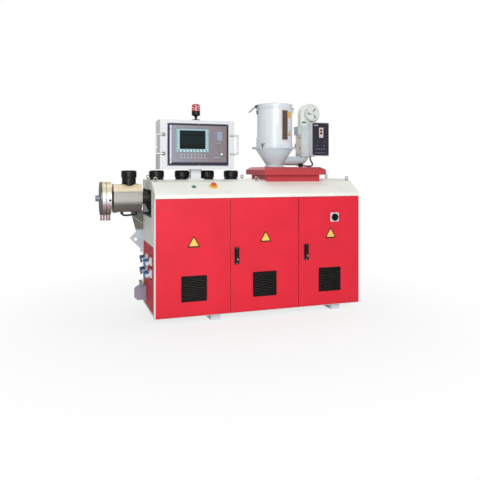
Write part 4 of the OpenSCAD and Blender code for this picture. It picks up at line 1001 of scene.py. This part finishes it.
def add_swing_bolts():
    """Swing bolts with wing nuts at the hopper's ring, a knob beside them and their forks."""
    bolts = Kit("swing_bolts", "zinc", BOLT_ZINC)
    for degrees in SWING_BOLTS:
        place = around(*HOPPER, 186, degrees, SWING_BOLT_Z)
        bolts.tube([(0, -16, 4), (0, 30, 4)], 3.4, place, 8)
        washer = place @ Matrix.Translation((0, 11, 4)) @ Matrix.Rotation(radians(-90), 4, "X")
        bolts.lathe(disc(8, 6, 1), washer, 16)
        for side in (-1, 1):
            root = place @ Matrix.Translation((side * 5, 22, 4))
            lean = Matrix.Rotation(radians(-side * 38), 4, "Z")
            bolts.block((-3.4, -3, -2.4), (3.4, 20, 2.4), root @ lean, 1.4)
    knob = around(*HOPPER, 183, 157, SWING_BOLT_Z)
    bolts.lathe([(0, 15), (6, 14), (9.5, 9), (9.5, 5), (4, 1), (4, 0)], knob, 20)
    bolts.done()
    forks = Kit("bolt_forks", "hopper_paint", HOPPER_PAINT)
    for degrees in SWING_BOLTS:
        place = around(*HOPPER, 180, degrees, SWING_BOLT_Z)
        for side in (-1, 1):
            forks.block((side * 8.5 - 3, -24, -3), (side * 8.5 + 3, -2, 12), place, 1)
    forks.done()


def add_hopper_window():
    """Frame of the sight glass and two plain coloured plates beside it."""
    strips = Kit("window_frame", "stainless", WINDOW_FRAME)
    for turned in (WINDOW_TURN - 10.6, WINDOW_TURN + 10.6):
        strips.block((-3, 1484, 1.6), (3, 1746, 4.6), around(*HOPPER, HOPPER_R, turned, 0), 0.8)
    for z in (1485, 1744):
        strips.lathe([(164, -2.6), (167, -2.2), (167, 2.2), (164, 2.6)], pose(*HOPPER, z, FLAT), 8,
                     WINDOW_TURN - 11, 22)
    strips.done()
    label = Kit("yellow_label", "yellow_plastic", LABEL_YELLOW)
    label.lathe([(161.8, 0), (162.9, 0.3), (162.9, 55.7), (161.8, 56)], pose(*HOPPER, 1679, FLAT), 8,
                -65.4, 18)
    label.done()
    mark = Kit("orange_label", "orange_plastic", LABEL_ORANGE)
    for k in range(LABEL_STEPS):
        half = 8.2 * (LABEL_STEPS - k - 0.4) / LABEL_STEPS
        mark.lathe([(161.8, 0), (162.8, 0.2), (162.8, 6.3), (161.8, 6.5)],
                   pose(*HOPPER, 1521 + k * 6.5, FLAT), 4, -55.5 - half, 2 * half)
    mark.done()


def add_lid_details():
    """Bead and knob top of the lid, its clasp on the shell and the heads of its hinge pin."""
    lid = Kit("lid_hinge_plate", "hopper_paint", HOPPER_PAINT, "hopper_lid")
    lid.lathe([(30, 0.5), (31, 3), (36, 3.6), (41, 3), (42, 0)], pose(*HOPPER, 1819.5, FLAT), 40)
    lid.lathe([(9, 0), (9, 0.2), (0, 0.4)], pose(*HOPPER, 1833.6, FLAT), 24)
    lid.done()
    clasp = Kit("clasp_seat", "zinc", CLASP)
    place = around(*HOPPER, HOPPER_R, 180, 1738)
    clasp.block((-12, -22, 0), (12, 14, 3), place, 0.8)
    clasp.block((-7, -16, 2), (7, 8, 8), place, 1.2)
    clasp.tube([(-9, 10, 6), (9, 10, 6)], 3, place, 8)
    clasp.done()
    ring = Kit("clasp_ring", "zinc", CLASP, "hopper_lid")
    ring.tube([(973, 338, 1786), (962, 338, 1781), (953, 338, 1790), (953, 352, 1790), (962, 352, 1781),
               (973, 352, 1786)], 2.6, LAYOUT, 8)
    ring.done()
    hinge = Kit("hinge_heads", "zinc", BOLT_ZINC)
    for y, facing in ((326, FRONT), (364, BACK)):
        hinge.lathe(disc(6, 3, 0.8), pose(1313, y, 1776, facing), 16)
    hinge.done()


# Dryer

HEATER_Y = 280
BLOWER_X, BLOWER_Z = 1481, 1733
DRYER_Y = 212
FINS, FIN_PITCH = 6, 12
DRYER_MARKS = ((1488, 40, 1622, 8), (1498, 8, 1441, 4), (1567, 8, 1441, 4), (1533, 118, 1374, 2),
               (1489, 7, 1409, 7), (1516, 7, 1409, 7), (1543, 7, 1409, 7), (1570, 7, 1409, 7))


def add_heater_details():
    """Fins, pipe ring, a thin side sheet of painted light, clips, screws and seams of the heater box."""
    fins = Kit("heater_fins", "dryer_paint", DRYER_PAINT)
    for k in range(FINS):
        fins.block((1349.5, 299, 1549 + k * FIN_PITCH), (1376, 391, 1553 + k * FIN_PITCH), LAYOUT, 0.8)
    fins.lathe([(46.5, 0), (50, 1), (50, 5), (46.5, 6)], pose(1424, BARREL_Y, 1335.5, FLAT), 40)
    fins.done()
    # Painted light: a thin warm-cream sheet gives the box's left side the tone the light gives it.
    Kit("heater_side", "dryer_paint", HEATER_PAINTED_LIGHT).block(
        (1375.4, 284, 1372), (1376.3, 406, 1540), LAYOUT).done()
    clips = Kit("heater_clips", "zinc", BOLT_ZINC)
    for z in (1420, 1515):
        clips.block((1368, 296, z - 3), (1376.4, 322, z + 3), LAYOUT, 1)
        clips.tube([(1371, 300, z), (1366, 309, z - 7), (1371, 318, z)], 2.2, LAYOUT, 8)
    screw_heads(clips, [(x, HEATER_Y, z) for x in (1430, 1390) for z in (1596, 1368)], FRONT, 3.2, 1.2)
    clips.done()
    seams = Kit("heater_seams", "dryer_paint", SEAM)
    for z in (1361, 1606):
        seams.block((1376.5, z, -0.3), (1446, z + 1.6, 0.3), pose(0, HEATER_Y, 0, FRONT))
    seams.done()


def bow(across, up):
    """Points on an upright half ellipse."""
    return [(across * cos(radians(a)), up * sin(radians(a))) for a in range(20, 175, 15)]


def swept_slot():
    """Outline of a slot that bends and widens from the middle of the blower's face outward."""
    ahead, behind = [], []
    for r in range(8, 51, 7):
        degrees = 80 - 0.45 * (r - 8)
        (x, y), (dx, dy) = spoke(r, degrees), spoke(1.5 + 0.09 * (r - 8), degrees)
        ahead.append((x - dy, y + dx))
        behind.append((x + dy, y - dx))
    return behind + ahead[::-1]


def add_blower_details():
    """Curved slot of the outlet, and the ring, hub, screws and swept slots of the blower's face; the slots
    are black plates of painted shade.
    """
    # Painted shade: a black curved plate for the dark inside of the outlet's slot.
    Kit("outlet_slot_shade", "black_plastic", BLACK_MATTE).prism(
        bow(24, 17) + bow(17, 5)[::-1], 0, 1, pose(1416, 313, 1646, FRONT)).done()
    Kit("slot_rim", "dryer_paint", LABEL_CREAM).prism(
        bow(28, 21) + bow(21, 1)[::-1], 0, 0.6, pose(1416, 313, 1646, FRONT)).done()
    cap = Kit("blower_ring", "dryer_paint", BLOWER_PAINT)
    cap.lathe([(63.6, 0), (66, 1), (66, 4), (63.6, 5)], pose(BLOWER_X, 268, BLOWER_Z, FRONT), 56)
    cap.lathe([(60, 0), (60, 1.2), (63, 1.2), (64, 0)], pose(BLOWER_X, 265, BLOWER_Z, FRONT), 56)
    cap.lathe([(0, 2), (8, 1.6), (9, 0)], pose(BLOWER_X, 265, BLOWER_Z, FRONT), 24)
    for degrees in (35, 155, 275):
        dx, dz = spoke(88, degrees)
        cap.lathe(disc(4.5, 3, 0.8), pose(BLOWER_X + dx, 313, BLOWER_Z + dz, FRONT), 14)
    cap.done()
    # Painted shade: black plates for the dark inside of the three swept slots.
    slots = Kit("blower_slot_shade", "black_plastic", BLACK_MATTE)
    for degrees in (0, 120, 240):
        turned = pose(BLOWER_X, 264.6, BLOWER_Z, FRONT) @ Matrix.Rotation(radians(degrees), 4, "Z")
        slots.prism(swept_slot(), -0.4, 0.6, turned)
    slots.done()


def add_dryer_controls():
    """Controller, buttons, plain marks and screws on the dryer's control box."""
    face = pose(0, DRYER_Y, 0, FRONT)
    Kit("controller_bezel", "white_plastic", BEZEL).block(
        (1513, 1510, 5.6), (1557, 1602, 7.2), face, 0.8).done()
    dark = Kit("controller_windows", "black_plastic", BLACK)
    for z in (1578, 1550):
        dark.lathe(disc(11, 1.4, 0.6), pose(1535, 205, z, FRONT), 28)
    dark.done()
    for name, x, finish in (("dryer_green", 1498, DARK_GREEN), ("dryer_red", 1567, DARK_RED)):
        Kit(name, "slate", finish).lathe(
            [(0, 1), (8, 1), (11.6, 0.4), (11.8, -1), (11.8, -7)], pose(x, 204, 1475, FRONT), 28).done()
    pale = Kit("dryer_marks", "white_plastic", PALE_MARK)
    for x, w, z, h in DRYER_MARKS:
        pale.block((x - w / 2, z - h / 2, 0), (x + w / 2, z + h / 2, 0.5), face, 0.2)
    pale.block((1524, 1516.5, 0), (1546, 1519.5, 7.8), face, 0.2)
    pale.done()
    Kit("dryer_accent", "orange_plastic", DARK_RED).block(
        (1540, 1604, 0), (1592, 1609, 0.5), face, 0.2).done()
    heads = Kit("dryer_screws", "zinc", ZINC)
    screw_heads(heads, [(x, DRYER_Y, z) for x in (1459, 1607) for z in (1358, 1637)], FRONT, 3, 1)
    heads.done()


def add_post_bolts():
    """Bolts in the foot plate of the control box's post."""
    foot = Kit("post_bolts", "zinc", ZINC)
    for x in (323, 439):
        for y in (229, 279):
            foot.lathe(disc(6.5, 5, 1), pose(x, y, 1146, FLAT), 6)
    foot.done()


add_camera()
add_lights()
add_floor()
finish_nodes()
add_cords()
add_plates()
add_edges()
add_locks()
add_front_screws()
add_vent_grids()
add_switch_details()
add_panel_edges()
add_screen()
add_keys()
add_panel_controls()
add_box_details()
add_beacon_details()
add_clamp_details()
add_guard_details()
add_stack_details()
add_conduit_glands()
add_end_screws()
add_end_details()
add_hopper_beads()
add_swing_bolts()
add_hopper_window()
add_lid_details()
add_heater_details()
add_blower_details()
add_dryer_controls()
add_post_bolts()
